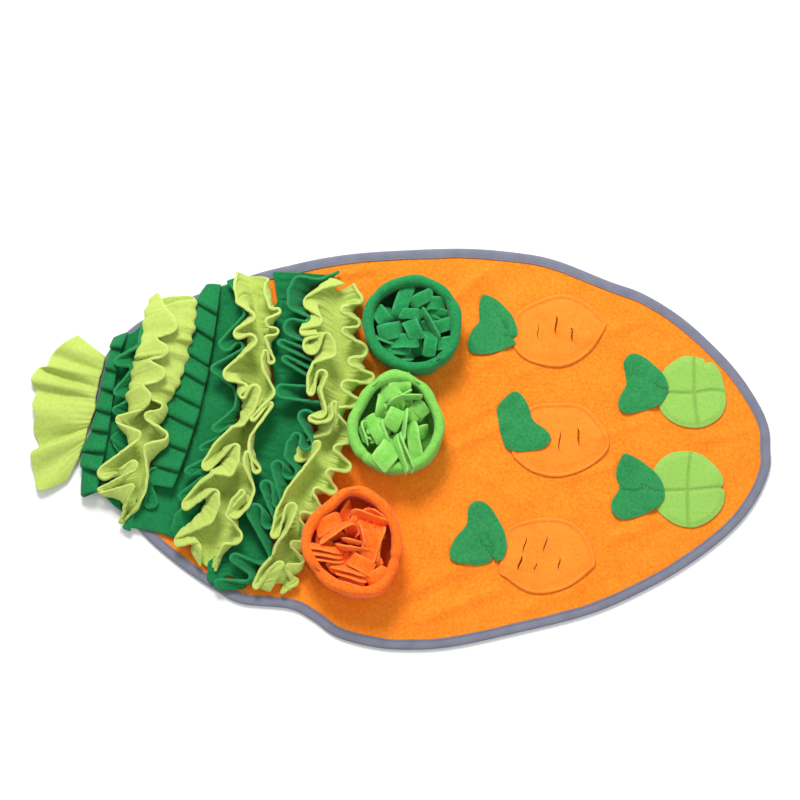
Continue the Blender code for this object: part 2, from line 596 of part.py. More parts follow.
def make_fan(collection):
    work = bmesh.new()
    ribs = []
    for root_right, root_down, tip_right, tip_down, root_z, mid_z, tip_z in FAN_RIBS:
        root = place(root_right, root_down, root_z * MM)
        tip = place(tip_right, tip_down, tip_z * MM)
        rib = []
        for k in range(FAN_ROWS):
            f = k / (FAN_ROWS - 1)
            height = (root_z * (1 - f) * (1 - 2 * f) + mid_z * 4 * f * (1 - f)
                      + tip_z * f * (2 * f - 1))
            spot = root.lerp(tip, f)
            rib.append(work.verts.new((spot.x, spot.y, height * MM)))
        ribs.append(rib)
    for a, b in zip(ribs, ribs[1:]):
        for k in range(FAN_ROWS - 1):
            work.faces.new((a[k], a[k + 1], b[k + 1], b[k]))
    mesh_data = bpy.data.meshes.new("leaf_fan")
    work.to_mesh(mesh_data)
    work.free()
    fan = new_object("leaf_fan", mesh_data, "lime", collection)
    solidify(fan, FAN_THICK)
    return fan


# ---------------------------------------------------------------- cups and tufts

def around(values, angle):
    """A value of a table at equal angles, read smoothly at any angle."""
    spot = angle / (2 * math.pi) * len(values)
    low = math.floor(spot)
    f = spot - low
    a, b, c, d = (values[(low + k) % len(values)] for k in (-1, 0, 1, 2))
    return 0.5 * (2 * b + (c - a) * f + (2 * a - 5 * b + 4 * c - d) * f * f
                  + (3 * b - a - 3 * c + d) * f ** 3)


def make_cup(name, cup, collection):
    middle = place(*cup["middle"], sum(cup["heights"]) / len(cup["heights"]) * MM)
    rim = cup["rim"] * MM
    foot = cup["foot"]
    # each ring: part of the rim's radius, then inset from it, then part of the height
    profile = [
        (foot, 0.0, 0.0), (foot + 0.06, 0.0, 0.25), (0.99, 1.5 * MM, 0.72), (1.0, 0.0, 0.86),
        (1.0, 0.28 * rim, 0.975), (1.0, 0.62 * rim, 1.0), (1.0, rim, 0.93),
        (1.0, rim + 0.6 * MM, 0.8), (foot + 0.08, CUP_WALL + 1 * MM, 0.3), (foot, CUP_WALL, None),
    ]
    rings = []
    for scale, side, level in profile:
        ring = []
        for i in range(CUP_SEGMENTS):
            angle = 2 * math.pi * i / CUP_SEGMENTS
            radius = around(cup["radii"], angle) * STEP * scale - side
            height = around(cup["heights"], angle) * MM
            z = CUP_FOOT + CUP_FLOOR if level is None else CUP_FOOT + (height - CUP_FOOT) * level
            ring.append(Vector((middle.x + radius * math.cos(angle),
                                middle.y + radius * math.sin(angle), z)))
        rings.append(ring)
    cup_object = new_object(name, rings_mesh(name, rings), cup["colour"], collection)
    cup_object.data.shade_smooth()
    return cup_object


def strip_rings(root, tip, width, turn):
    """Sections of one cut strip, from its root up and over to its tip."""
    reach = tip - root
    flat = Vector((reach.x, reach.y, 0))
    rings = []
    lean = flat.normalized() if flat.length > 1 * MM else Vector((1, 0, 0))
    for k in range(STRIP_SECTIONS):
        f = k / (STRIP_SECTIONS - 1)
        spot = root + flat * f ** STRIP_BOW + Vector((0, 0, reach.z * math.sin(f * math.pi / 2)))
        along = (flat * STRIP_BOW * max(f, 0.05) ** (STRIP_BOW - 1)
                 + Vector((0, 0, reach.z * math.pi / 2 * math.cos(f * math.pi / 2))))
        along = along.normalized()
        broad = lean.cross(Vector((0, 0, 1))).normalized()
        spin = math.radians(turn) * f
        thin = along.cross(broad).normalized()
        broad, thin = (broad * math.cos(spin) + thin * math.sin(spin),
                       thin * math.cos(spin) - broad * math.sin(spin))
        neck, full_at = STRIP_NECK
        span = width * (neck + (1 - neck) * min(1, f / full_at))
        ring = [spot + broad * (x * span / 2) + thin * (y * STRIP_THICK / 2)
                for x, y in ((-1, -1), (1, -1), (1, 1), (-1, 1))]
        rings.append(ring)
    return rings


def make_tuft(name, tuft, collection, helpers):
    cup = CUPS[tuft["cup"]]
    middle = place(*cup["middle"], sum(cup["heights"]) / len(cup["heights"]) * MM)
    radius, thick = TUFT_BACKING
    low = CUP_FOOT + CUP_FLOOR + GAP
    bpy.ops.mesh.primitive_cylinder_add(vertices=16, radius=radius, depth=thick,
                                        location=(middle.x, middle.y, low + thick / 2))
    backing = bpy.context.object
    backing.name = name
    backing.data.name = name
    backing.data.materials.append(material(cup["colour"]))
    for holder in list(backing.users_collection):
        holder.objects.unlink(backing)
    collection.objects.link(backing)
    strips = bpy.data.collections.new(name + " strips")
    helpers.children.link(strips)
    for number, (right, down, tip_right, tip_down, height, width, turn) in enumerate(tuft["strips"]):
        tip = place(tip_right, tip_down, height * MM)
        root = place(right, down, height * MM)
        root.z = low + thick - TUFT_ROOT[0] - TUFT_ROOT[1] * number
        rings = strip_rings(root, tip, width * MM, turn)
        strip = new_object(f"{name} strip {number}", rings_mesh("strip", rings), cup["colour"], strips)
        strip.display_type = "WIRE"
        strip.hide_render = True
    union = backing.modifiers.new("strips", "BOOLEAN")
    union.operation = "UNION"
    union.operand_type = "COLLECTION"
    union.collection = strips
    return backing


# ---------------------------------------------------------------- flat pieces

def flat_line(outline, count):
    return smooth_line([place(right, down, BASE_TOP) for right, down in outline], count, True)


def make_plate(name, outline, thickness, colour, collection):
    """A flat cut piece lying on the base."""
    line = flat_line(outline, 2 * len(outline))
    area = sum(a.x * b.y - b.x * a.y for a, b in zip(line, line[1:] + line[:1]))
    if area < 0:
        line = line[::-1]
    up = Vector((0, 0, 1))
    rings = [[p + up * GAP for p in line], [p + up * (GAP + thickness) for p in line]]
    return new_object(name, rings_mesh(name, rings), colour, collection)


def make_leaf(name, outline, neighbour, neighbour_thickness, collection):
    """A flat cut piece lying on the base, one side of it climbing over its neighbour's edge."""
    line = flat_line(outline, LEAF_POINTS)
    over = [p.xy for p in flat_line(neighbour, 2 * len(neighbour))]
    middle = sum(line, Vector()) / len(line)
    rings = [[p.lerp(middle, f) for p in line] for f in LEAF_RINGS] + [[middle]]
    start, end = LEAF_RAMP
    work = bmesh.new()
    made = []
    for ring in rings:
        row = []
        for p in ring:
            climb = soft_step((start - outside_by(over, p.xy)) / (start - end))
            lift = GAP + LEAF_REST + climb * (neighbour_thickness + 2 * GAP)
            row.append(work.verts.new((p.x, p.y, BASE_TOP + lift)))
        made.append(row)
    for outer, inner in zip(made, made[1:-1]):
        for i in range(LEAF_POINTS):
            j = (i + 1) % LEAF_POINTS
            work.faces.new((outer[i], outer[j], inner[j], inner[i]))
    for i in range(LEAF_POINTS):
        work.faces.new((made[-2][i], made[-2][(i + 1) % LEAF_POINTS], made[-1][0]))
    mesh_data = bpy.data.meshes.new(name)
    work.to_mesh(mesh_data)
    work.free()
    leaf = new_object(name, mesh_data, "leaf green", collection)
    solidify(leaf, LEAF_THICK)
    return leaf


def make_flat_pieces(collection):
    for name, outline in PATCHES.items():
        make_plate(name, outline, PATCH_THICK, "orange", collection)
    for name, outline in ROUNDS.items():
        make_plate(name, outline, ROUND_THICK, "round green", collection)
    for name, leaf in LEAVES.items():
        if leaf["over"] in PATCHES:
            make_leaf(name, leaf["outline"], PATCHES[leaf["over"]], PATCH_THICK, collection)
        else:
            make_leaf(name, leaf["outline"], ROUNDS[leaf["over"]], ROUND_THICK, collection)


# ---------------------------------------------------------------- the whole mat

def main():
    for thing in list(bpy.data.objects):
        bpy.data.objects.remove(thing, do_unlink=True)
    scene = bpy.context.scene
    pieces = bpy.data.collections.new("snuffle mat")
    helpers = bpy.data.collections.new("cutters")
    scene.collection.children.link(pieces)
    scene.collection.children.link(helpers)
    make_base(pieces)
    make_binding(pieces)
    make_fan(pieces)
    mat_edge = [point.xy for point in mat_line()]
    for name, row in RUFFLES.items():
        make_ruffle(name, row, mat_edge, pieces)
    for name, cup in CUPS.items():
        make_cup(name, cup, pieces)
    for name, tuft in TUFTS.items():
        make_tuft(name, tuft, pieces, helpers)
    make_flat_pieces(pieces)


main()
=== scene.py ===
# Snuffle mat, the dressed version: soft fleece ruffles, cups, strips and patches put over
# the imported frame. Metres, +Z up. The mat lies on z = 0 with its pointed end at +X.
import math
import random

import bmesh
import bpy
import numpy as np
from mathutils import Matrix, Vector, noise


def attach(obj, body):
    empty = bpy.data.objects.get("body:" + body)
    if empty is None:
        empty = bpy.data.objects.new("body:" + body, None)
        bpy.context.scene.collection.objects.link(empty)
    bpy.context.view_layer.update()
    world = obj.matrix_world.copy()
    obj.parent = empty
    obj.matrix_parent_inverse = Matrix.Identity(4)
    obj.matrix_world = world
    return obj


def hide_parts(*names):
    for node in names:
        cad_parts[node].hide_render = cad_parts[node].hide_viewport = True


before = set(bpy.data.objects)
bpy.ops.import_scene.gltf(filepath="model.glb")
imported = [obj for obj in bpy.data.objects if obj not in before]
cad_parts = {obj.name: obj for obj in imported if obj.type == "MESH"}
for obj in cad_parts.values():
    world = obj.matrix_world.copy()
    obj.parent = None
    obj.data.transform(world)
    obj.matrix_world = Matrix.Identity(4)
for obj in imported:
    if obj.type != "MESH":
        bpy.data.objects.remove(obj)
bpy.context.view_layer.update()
print("frame loaded")

mm = 0.001
layout = dict(step=0.750 / 738,           # one layout step, in metres
              middle=(400, 447.5),        # right and down of the origin
              tilt=math.radians(80))      # the layout is read along this slope
levels = dict(floorTop=2.5 * mm,          # top of the base cloth
              tapeTop=3.6 * mm,
              gap=0.3 * mm,               # left under each piece that lies on another
              clothRest=1.8 * mm)         # from there to the middle of a ruffle's cloth


def place(right, down, height=0.0):
    # a layout point at a height in metres, in world coordinates
    across = (right - layout["middle"][0]) * layout["step"]
    rise = (layout["middle"][1] - down) * layout["step"] - height * math.cos(layout["tilt"])
    return Vector((across, rise / math.sin(layout["tilt"]), height))


def spanned(a, b, c, d, t):
    # Catmull-Rom from b to c
    return 0.5 * (2 * b + (c - a) * t + (2 * a - 5 * b + 4 * c - d) * t ** 2
                  + (3 * b - a - 3 * c + d) * t ** 3)


def curveThrough(points, perSpan=12, closed=False):
    # a smooth curve through points of any size, as a numpy array
    p = np.array([tuple(q) for q in points], float)
    last = len(p) - 1
    t = np.arange(perSpan)[:, None] / perSpan
    parts = []
    for i in range(len(p) if closed else last):
        near = [(i + k) % len(p) if closed else min(max(i + k, 0), last) for k in (-1, 0, 1, 2)]
        parts.append(spanned(*p[near], t))
    return np.vstack(parts + [p[:1] if closed else p[-1:]])


def lengthsAlong(line):
    return np.concatenate(([0], np.cumsum(np.linalg.norm(np.diff(line, axis=0), axis=1))))


def evenLine(line, count):
    # a polyline read at equal lengths
    lengths = lengthsAlong(line)
    want = np.linspace(0, lengths[-1], count)
    return np.stack([np.interp(want, lengths, column) for column in line.T], axis=1)


def closedLine(points, count):
    return evenLine(curveThrough(points, 16, True), count + 1)[:-1]


def softStep(f):
    f = np.clip(f, 0, 1)
    return f * f * (3 - 2 * f)


def bell(away, width):
    return np.exp(-(away / width) ** 2)


def outsideBy(line, spots):
    # how far each spot lies outside a closed line in XY; negative inside it
    a = line[:, :2]
    run = np.roll(a, -1, 0) - a
    away = spots[:, None, :2] - a[None]
    along = np.clip((away * run).sum(-1) / (run ** 2).sum(-1), 0, 1)
    near = np.linalg.norm(away - along[..., None] * run, axis=-1).min(1)
    y = spots[:, None, 1]
    tiny = 1e-12
    tall = np.where(np.abs(run[:, 1]) < tiny, tiny, run[:, 1])
    crosses = (a[:, 1] > y) != (a[:, 1] + run[:, 1] > y)
    crosses &= spots[:, None, 0] < a[:, 0] + run[:, 0] * (y - a[:, 1]) / tall
    return np.where(crosses.sum(1) % 2 == 1, -near, near)


def lineDistance(spots, start, end):
    # distance in XY from the straight line between two points
    a, b = np.array(start[:2]), np.array(end[:2])
    run = b - a
    along = np.clip(((spots[:, :2] - a) @ run) / (run @ run), 0, 1)
    return np.linalg.norm(spots[:, :2] - a - along[:, None] * run, axis=1)


matLine = closedLine([place(*p) for p in [
    (769, 447), (768, 470), (754, 501), (730, 530), (692, 560), (648, 586), (589, 612), (510, 632),
    (446, 645), (399, 647), (366, 643), (336, 634), (313, 618), (290, 607), (243, 602), (217, 589),
    (195, 575), (172, 558), (149, 538), (120, 508), (102, 482), (94, 455), (92, 425), (96, 390),
    (106, 355), (131, 328), (157, 312), (185, 299), (209, 290), (257, 273), (289, 265), (321, 258),
    (356, 253), (399, 250), (463, 248), (516, 252), (557, 260), (610, 281), (645, 294), (683, 318),
    (718, 350), (742, 378), (760, 407), (768, 428),
]], 360)[::-1]

# ---- materials


class Wire:
    # one output of a shader node; sums on it add Math nodes
    def __init__(self, graph, socket):
        self.graph, self.socket = graph, socket

    def join(self, operation, left, right=0.0):
        return self.graph.add("ShaderNodeMath", {"operation": operation}, {0: left, 1: right})

    def __add__(self, other):
        return self.join("ADD", self, other)

    def __radd__(self, other):
        return self.join("ADD", other, self)

    def __sub__(self, other):
        return self.join("SUBTRACT", self, other)

    def __rsub__(self, other):
        return self.join("SUBTRACT", other, self)

    def __mul__(self, other):
        return self.join("MULTIPLY", self, other)

    def __rmul__(self, other):
        return self.join("MULTIPLY", other, self)

    def sine(self):
        return self.join("SINE", self)

    def clear(self):
        # kept between 0 and 1
        return self.graph.add("ShaderNodeClamp", {}, {"Value": self})


class Finish:
    # a material whose nodes are added one by one
    def __init__(self, name, roughness, **fixed):
        self.material = bpy.data.materials.new(name)
        self.material.use_nodes = True
        self.tree = self.material.node_tree
        self.shader = self.tree.nodes["Principled BSDF"]
        self.shader.inputs["Roughness"].default_value = roughness
        for key, value in fixed.items():
            self.shader.inputs[key.replace("_", " ")].default_value = value
        self.object = self.add("ShaderNodeTexCoord", {}, {}, "Object")

    def add(self, kind, settings, values, output=0):
        node = self.tree.nodes.new(kind)
        for key, value in settings.items():
            setattr(node, key, value)
        for key, value in values.items():
            if isinstance(value, Wire):
                self.tree.links.new(value.socket, node.inputs[key])
            else:
                node.inputs[key].default_value = value
        return Wire(self, node.outputs[output])

    def grain(self, scale, detail, roughness):
        return self.add("ShaderNodeTexNoise", {}, {
            "Vector": self.object, "Scale": scale, "Detail": detail, "Roughness": roughness})

    def attribute(self, name):
        return self.add("ShaderNodeAttribute", {"attribute_name": name}, {}, "Fac")

    def mix(self, factor, first, second):
        # between two colours, or a wire and a colour
        first, second = (c if isinstance(c, Wire) else (*c, 1) for c in (first, second))
        return self.add("ShaderNodeMix", {"data_type": "RGBA"}, {0: factor, 6: first, 7: second}, 2)

    def bump(self, height, distance, strength, after=None):
        values = {"Height": height, "Distance": distance, "Strength": strength}
        if after:
            values["Normal"] = after
        return self.add("ShaderNodeBump", {}, values, "Normal")

    def feed(self, **links):
        for key, wire in links.items():
            self.tree.links.new(wire.socket, self.shader.inputs[key.replace("_", " ")])


def linear(colour, part=1.0):
    # a colour seen on screen, 0 to 255, as Blender counts it
    return tuple(((c / 255 / 12.92) if c <= 10.31 else ((c / 255 + 0.055) / 1.055) ** 2.4) * part
                 for c in colour)


# seen colours in light and in shade, of the fuzz on a cut edge with a painted highlight, and how
# deep the pile is
fleeces = {
    "orangeFleece": dict(light=(255, 154, 46), deep=(240, 114, 16), edge=(255, 165, 70), pile=1.0),
    "patchFleece": dict(light=(255, 155, 55), deep=(244, 122, 27), edge=(255, 168, 76), pile=0.6),
    "orangeCupFleece": dict(light=(255, 132, 40), deep=(244, 86, 14), edge=(255, 150, 66),
                            pile=0.9),
    "limeFleece": dict(light=(196, 212, 112), deep=(164, 188, 80), edge=(204, 220, 124), pile=0.7),
    "greenFleece": dict(light=(34, 136, 78), deep=(14, 100, 52), edge=(50, 150, 92), pile=0.7),
    "cupGreenFleece": dict(light=(46, 152, 86), deep=(22, 120, 60), edge=(76, 174, 108), pile=0.9),
    "lightGreenFleece": dict(light=(146, 212, 100), deep=(108, 188, 70), edge=(176, 228, 126),
                             pile=0.9),
    "roundFleece": dict(light=(158, 204, 100), deep=(134, 186, 78), edge=(176, 216, 120), pile=0.8),
    "leafFleece": dict(light=(60, 152, 90), deep=(32, 124, 64), edge=(78, 168, 106), pile=1.0),
}
fleeceLook = dict(pile=(1150, 3, 0.7), tufts=(330, 2, 0.6), wear=(34, 3, 0.6), pileShare=0.55,
                  # frayed lightens cut edges, by their fuzz and a painted highlight; pressed is
                  # painted shade, its strength and how dark
                  contrast=3.4, wearTone=0.6, fuzzAndHighlight=(0.2, 0.6), paintedShadeStrength=(0.5, 0.45),
                  roughness=(0.86, 0.16),
                  tuftBump=(0.9 * mm, 0.5), pileBump=(0.5 * mm, 0.55))
tapeLook = dict(light=(138, 140, 156), deep=(104, 106, 122), rib=0.9 * mm, cross=1.3 * mm,
                bend=0.8, wear=(60, 3, 0.6), tone=(0.5, 0.9, 0.2), roughness=(0.7, 0.2),
                bump=(0.25 * mm, 0.6))
threads = {"orangeThread": (250, 130, 30), "limeThread": (176, 216, 104),
           "greyThread": (120, 120, 138), "paleThread": (196, 226, 150)}
threadLook = dict(lay=(2600, 2, 0.5), dull=0.72, bump=(0.1 * mm, 0.5))


def makeFleece(name, look):
    finish = Finish(name, 0.92, Sheen_Weight=0.12, Sheen_Roughness=0.5, Specular_IOR_Level=0.1)
    pile, tufts, wear = (finish.grain(*fleeceLook[key]) for key in ("pile", "tufts", "wear"))
    share, depth = fleeceLook["pileShare"], look["pile"]
    fuzz = (pile * share + tufts * (1 - share)) * depth + 0.5 * (1 - depth)
    tone = ((fuzz - 0.5) * fleeceLook["contrast"] + (wear - 0.5) * fleeceLook["wearTone"]
            + 0.5).clear()
    colour = finish.mix(tone, linear(look["deep"]), linear(look["light"]))
    # cut edges lighter: the fuzz's own colour and a painted highlight
    least, more = fleeceLook["fuzzAndHighlight"]
    fuzzAndHighlight = (finish.attribute("trim") * (least + pile * more)).clear()
    colour = finish.mix(fuzzAndHighlight, colour, linear(look["edge"]))
    # painted shade where the press layer is set: in stitch grooves and folds, and under a patch's
    # cut edge
    paintedShadeStrength, darker = fleeceLook["paintedShadeStrength"]
    press = (finish.attribute("press") * paintedShadeStrength).clear()
    colour = finish.mix(press, colour, linear(look["deep"], darker))
    rough, rougher = fleeceLook["roughness"]
    finish.feed(Base_Color=colour, Roughness=rough + wear * rougher)
    pileBump, pileStrength = fleeceLook["pileBump"]
    tuftBump, tuftStrength = fleeceLook["tuftBump"]
    finish.feed(Normal=finish.bump(tufts, tuftBump * depth, tuftStrength,
                                   finish.bump(pile, pileBump * depth, pileStrength)))
    return finish.material


def makeTape(name, look):
    # ribs across the tape, from its own UV map in metres
    finish = Finish(name, 0.75, Sheen_Weight=0.1, Specular_IOR_Level=0.25)
    tapeMap = finish.add("ShaderNodeUVMap", {"uv_map": "along"}, {})
    parts = finish.add("ShaderNodeSeparateXYZ", {}, {"Vector": tapeMap})
    along, across = (Wire(finish, parts.socket.node.outputs[axis]) for axis in "XY")
    ribs = (along * (2 * math.pi / look["rib"])).sine()
    yarns = ((across * (2 * math.pi / look["cross"])) + ribs * look["bend"]).sine()
    weave = (ribs * yarns) * 0.5 + 0.5
    wear = finish.grain(*look["wear"])
    weaveTone, wearTone, lower = look["tone"]
    tone = (weave * weaveTone + wear * wearTone - lower).clear()
    rough, rougher = look["roughness"]
    finish.feed(Base_Color=finish.mix(tone, linear(look["deep"]), linear(look["light"])),
                Roughness=rough + wear * rougher, Normal=finish.bump(weave, *look["bump"]))
    return finish.material


def makeThread(name, colour):
    finish = Finish(name, 0.6, Sheen_Weight=0.2)
    lay = finish.grain(*threadLook["lay"])
    finish.feed(Base_Color=finish.mix(lay, linear(colour, threadLook["dull"]), linear(colour)),
                Normal=finish.bump(lay, *threadLook["bump"]))
    return finish.material


materials = {name: makeFleece(name, look) for name, look in fleeces.items()}
materials["greyTape"] = makeTape("greyTape", tapeLook)
materials.update({name: makeThread(name, colour) for name, colour in threads.items()})
print("materials made")

# ---- cloth


def newThing(name, material, points, faces, edges=(), **layers):
    # layers: trim is 1 on cut edges, lightened by fuzz and a painted highlight; press is painted
    # shade along stitch grooves, folds and under a patch's cut edge
    data = bpy.data.meshes.new(name)
    data.from_pydata([tuple(p) for p in points], edges, faces)
    for layer, values in layers.items():
        data.attributes.new(layer, "FLOAT", "POINT").data.foreach_set(
            "value", np.asarray(values, np.float32))
    data.update()
    thing = bpy.data.objects.new(name, data)
    bpy.context.scene.collection.objects.link(thing)
    data.materials.append(materials[material])
    return thing


def gridFaces(rows, count, start=0, closed=False, turned=False):
    # quads of a grid with count points in each row; closed joins each row's two ends
    faces = []
    for r in range(rows - 1):
        for i in range(count if closed else count - 1):
            a, b = (start + r * count + k % count for k in (i, i + 1))
            faces.append((a, a + count, b + count, b) if turned else (a, b, b + count, a + count))
    return faces


def settle(thing):
    # the object's modifiers are applied, and its mesh is plain again
    graph = bpy.context.evaluated_depsgraph_get()
    plain = bpy.data.meshes.new_from_object(thing.evaluated_get(graph), depsgraph=graph,
                                            preserve_all_data_layers=True)
    thing.modifiers.clear()
    thing.data = plain
    plain.name = thing.name
    plain.shade_smooth()


def thicken(thing, thickness, smooth=1):
    wall = thing.modifiers.new("thickness", "SOLIDIFY")
    wall.thickness = thickness
    wall.offset = 0
    soft = thing.modifiers.new("soft", "SUBSURF")
    soft.levels = soft.render_levels = smooth
    settle(thing)


def rework(thing, change):
    # the object's mesh, changed in bmesh
    work = bmesh.new()
    work.from_mesh(thing.data)
    change(work)
    work.to_mesh(thing.data)
    work.free()


def readPoints(items, key):
    flat = np.empty(len(items) * 3, np.float32)
    items.foreach_get(key, flat)
    return flat.reshape(-1, 3).astype(float)


def noiseAt(points, size, seed):
    # about -1 to 1; each seed reads another place of the same noise
    shift = Vector((seed * 3.1, seed * 1.7, seed * 0.9))
    return np.array([noise.noise(Vector(p) / size + shift) for p in points])


def roughen(thing, waves, lowest=-1.0, seed=0):
    # moves the surface along its normals by noise: waves are (amount, size, seed)
    points = readPoints(thing.data.vertices, "co")
    normals = readPoints(thing.data.vertex_normals, "vector")
    moved = points.copy()
    for amount, size, own in waves:
        moved += normals * (noiseAt(points, size, seed + own) * amount)[:, None]
    moved[:, 2] = np.maximum(moved[:, 2], lowest)
    thing.data.vertices.foreach_set("co", np.asarray(moved, np.float32).ravel())
    thing.data.update()


def finishSheet(thing, node, width, restsOn):
    # width is the cut piece's; its length follows from the cloth that is there
    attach(thing, "root")
    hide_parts(node)
    area = sum(face.area for face in thing.data.polygons) / 2
    flat = (round(width, 3), round(area / width, 3))
    print(f"{thing.name}: {len(thing.data.polygons)} faces, sheet {flat[0]} by {flat[1]} m")


# ---- base cloth and its creases

baseLook = dict(width=0.41, columns=250, rows=130, crowd=0.35, rim=1.4 * mm, under=1.1 * mm,
                lining=(11 * mm, 2 * mm), fade=(11.5 * mm, 14 * mm), deepest=1.6 * mm,
                wave=(1.0 * mm, 42 * mm, 3))       # amount, size, seed
# creases of the base: start and end as right and down, half width and height in mm
creases = [
    (342, 273, 386, 262, 4.2, 3.3), (352, 281, 372, 276, 3.7, -1.8), (452, 300, 486, 272, 6.3, 2.8),
    (464, 312, 500, 290, 6.3, -1.8), (452, 378, 500, 356, 7.4, 2.1),
    (444, 442, 500, 412, 4.7, -3.3), (444, 452, 506, 424, 6.3, 2.8), (474, 472, 520, 500, 6.3, 1.8),
    (408, 590, 470, 560, 6.3, 2.1), (404, 604, 486, 572, 5.2, -2.5), (420, 618, 498, 588, 6.3, 2.5),
    (520, 610, 580, 584, 6.3, 1.8), (598, 438, 640, 424, 5.2, 1.8), (590, 340, 640, 322, 6.3, 1.8),
    (620, 300, 668, 330, 6.3, 1.8), (540, 262, 600, 284, 6.3, 1.8), (420, 256, 500, 262, 5.2, 1.5),
    (610, 540, 660, 520, 6.3, 2.1), (700, 440, 752, 430, 5.2, 1.5), (560, 480, 612, 466, 5.2, 1.8),
    (508, 380, 540, 366, 5.2, 1.5), (596, 500, 640, 540, 6.3, 1.5),
]


def baseLift(points):
    # how far the base cloth stands above its flat top, at points in XY
    lift = np.zeros(len(points))
    for right, down, endRight, endDown, width, height in creases:
        far = lineDistance(points, place(right, down), place(endRight, endDown))
        lift += height * mm * bell(far, width * mm)
    amount, size, seed = baseLook["wave"]
    lift += amount * noiseAt(np.c_[points[:, :2], np.zeros(len(points))], size, seed)
    deepest = baseLook["deepest"]
    lift = np.where(lift < 0, deepest * np.tanh(lift / deepest), lift)
    inset, fade = baseLook["fade"]
    return lift * softStep((-outsideBy(matLine, points) - inset) / fade)


def makeBase():
    # columns from side to side of the outline, on top and below, joined round the rim
    inner = closedLine(matLine, 360)
    columns, rows, rim = baseLook["columns"], baseLook["rows"], baseLook["rim"]
    low, high = inner[:, 0].min() + rim, inner[:, 0].max() - rim
    xs = (low + high) / 2 - np.cos(np.linspace(0, math.pi, columns)) * (high - low) / 2
    xs = baseLook["crowd"] * xs + (1 - baseLook["crowd"]) * np.linspace(low, high, columns)
    loop = np.vstack([inner, inner[:1]])
    grid = []
    for x in xs:
        hits = [a[1] + (b[1] - a[1]) * (x - a[0]) / (b[0] - a[0])
                for a, b in zip(loop[:-1], loop[1:])
                if (a[0] - x) * (b[0] - x) <= 0 and a[0] != b[0]]
        side = min(rim, (max(hits) - min(hits)) / 2)
        grid += [(x, y, 0) for y in np.linspace(min(hits) + side, max(hits) - side, rows)]
    grid = np.array(grid)
    top = grid.copy()
    top[:, 2] = levels["floorTop"] + baseLift(grid)
    inset, fade = baseLook["lining"]
    grid[:, 2] = baseLook["under"] * (1 - softStep((-outsideBy(matLine, grid) - inset) / fade))
    total = columns * rows
    faces = gridFaces(columns, rows, turned=True) + gridFaces(columns, rows, total)
    edge = ([i * rows for i in range(columns - 1)]
            + [(columns - 1) * rows + j for j in range(rows - 1)]
            + [i * rows + rows - 1 for i in range(columns - 1, 0, -1)]
            + list(range(rows - 1, 0, -1)))
    faces += [(b, a, total + a, total + b) for a, b in zip(edge, edge[1:] + edge[:1])]
    thing = newThing("baseCloth", "orangeFleece", np.vstack([top, grid]), faces,
                     trim=np.zeros(2 * total))
    settle(thing)
    return thing


finishSheet(makeBase(), "base", baseLook["width"], [])

# ---- tape folded round the edge

tapeShape = dict(width=0.023, samples=460, reach=10 * mm, thick=0.8 * mm, lastStep=4 * mm,
                 wander=(0.5 * mm, 22 * mm, 5), puff=(0.25 * mm, 9 * mm, 8),
                 stitchAt=0.8, stitchLow=0.1 * mm)


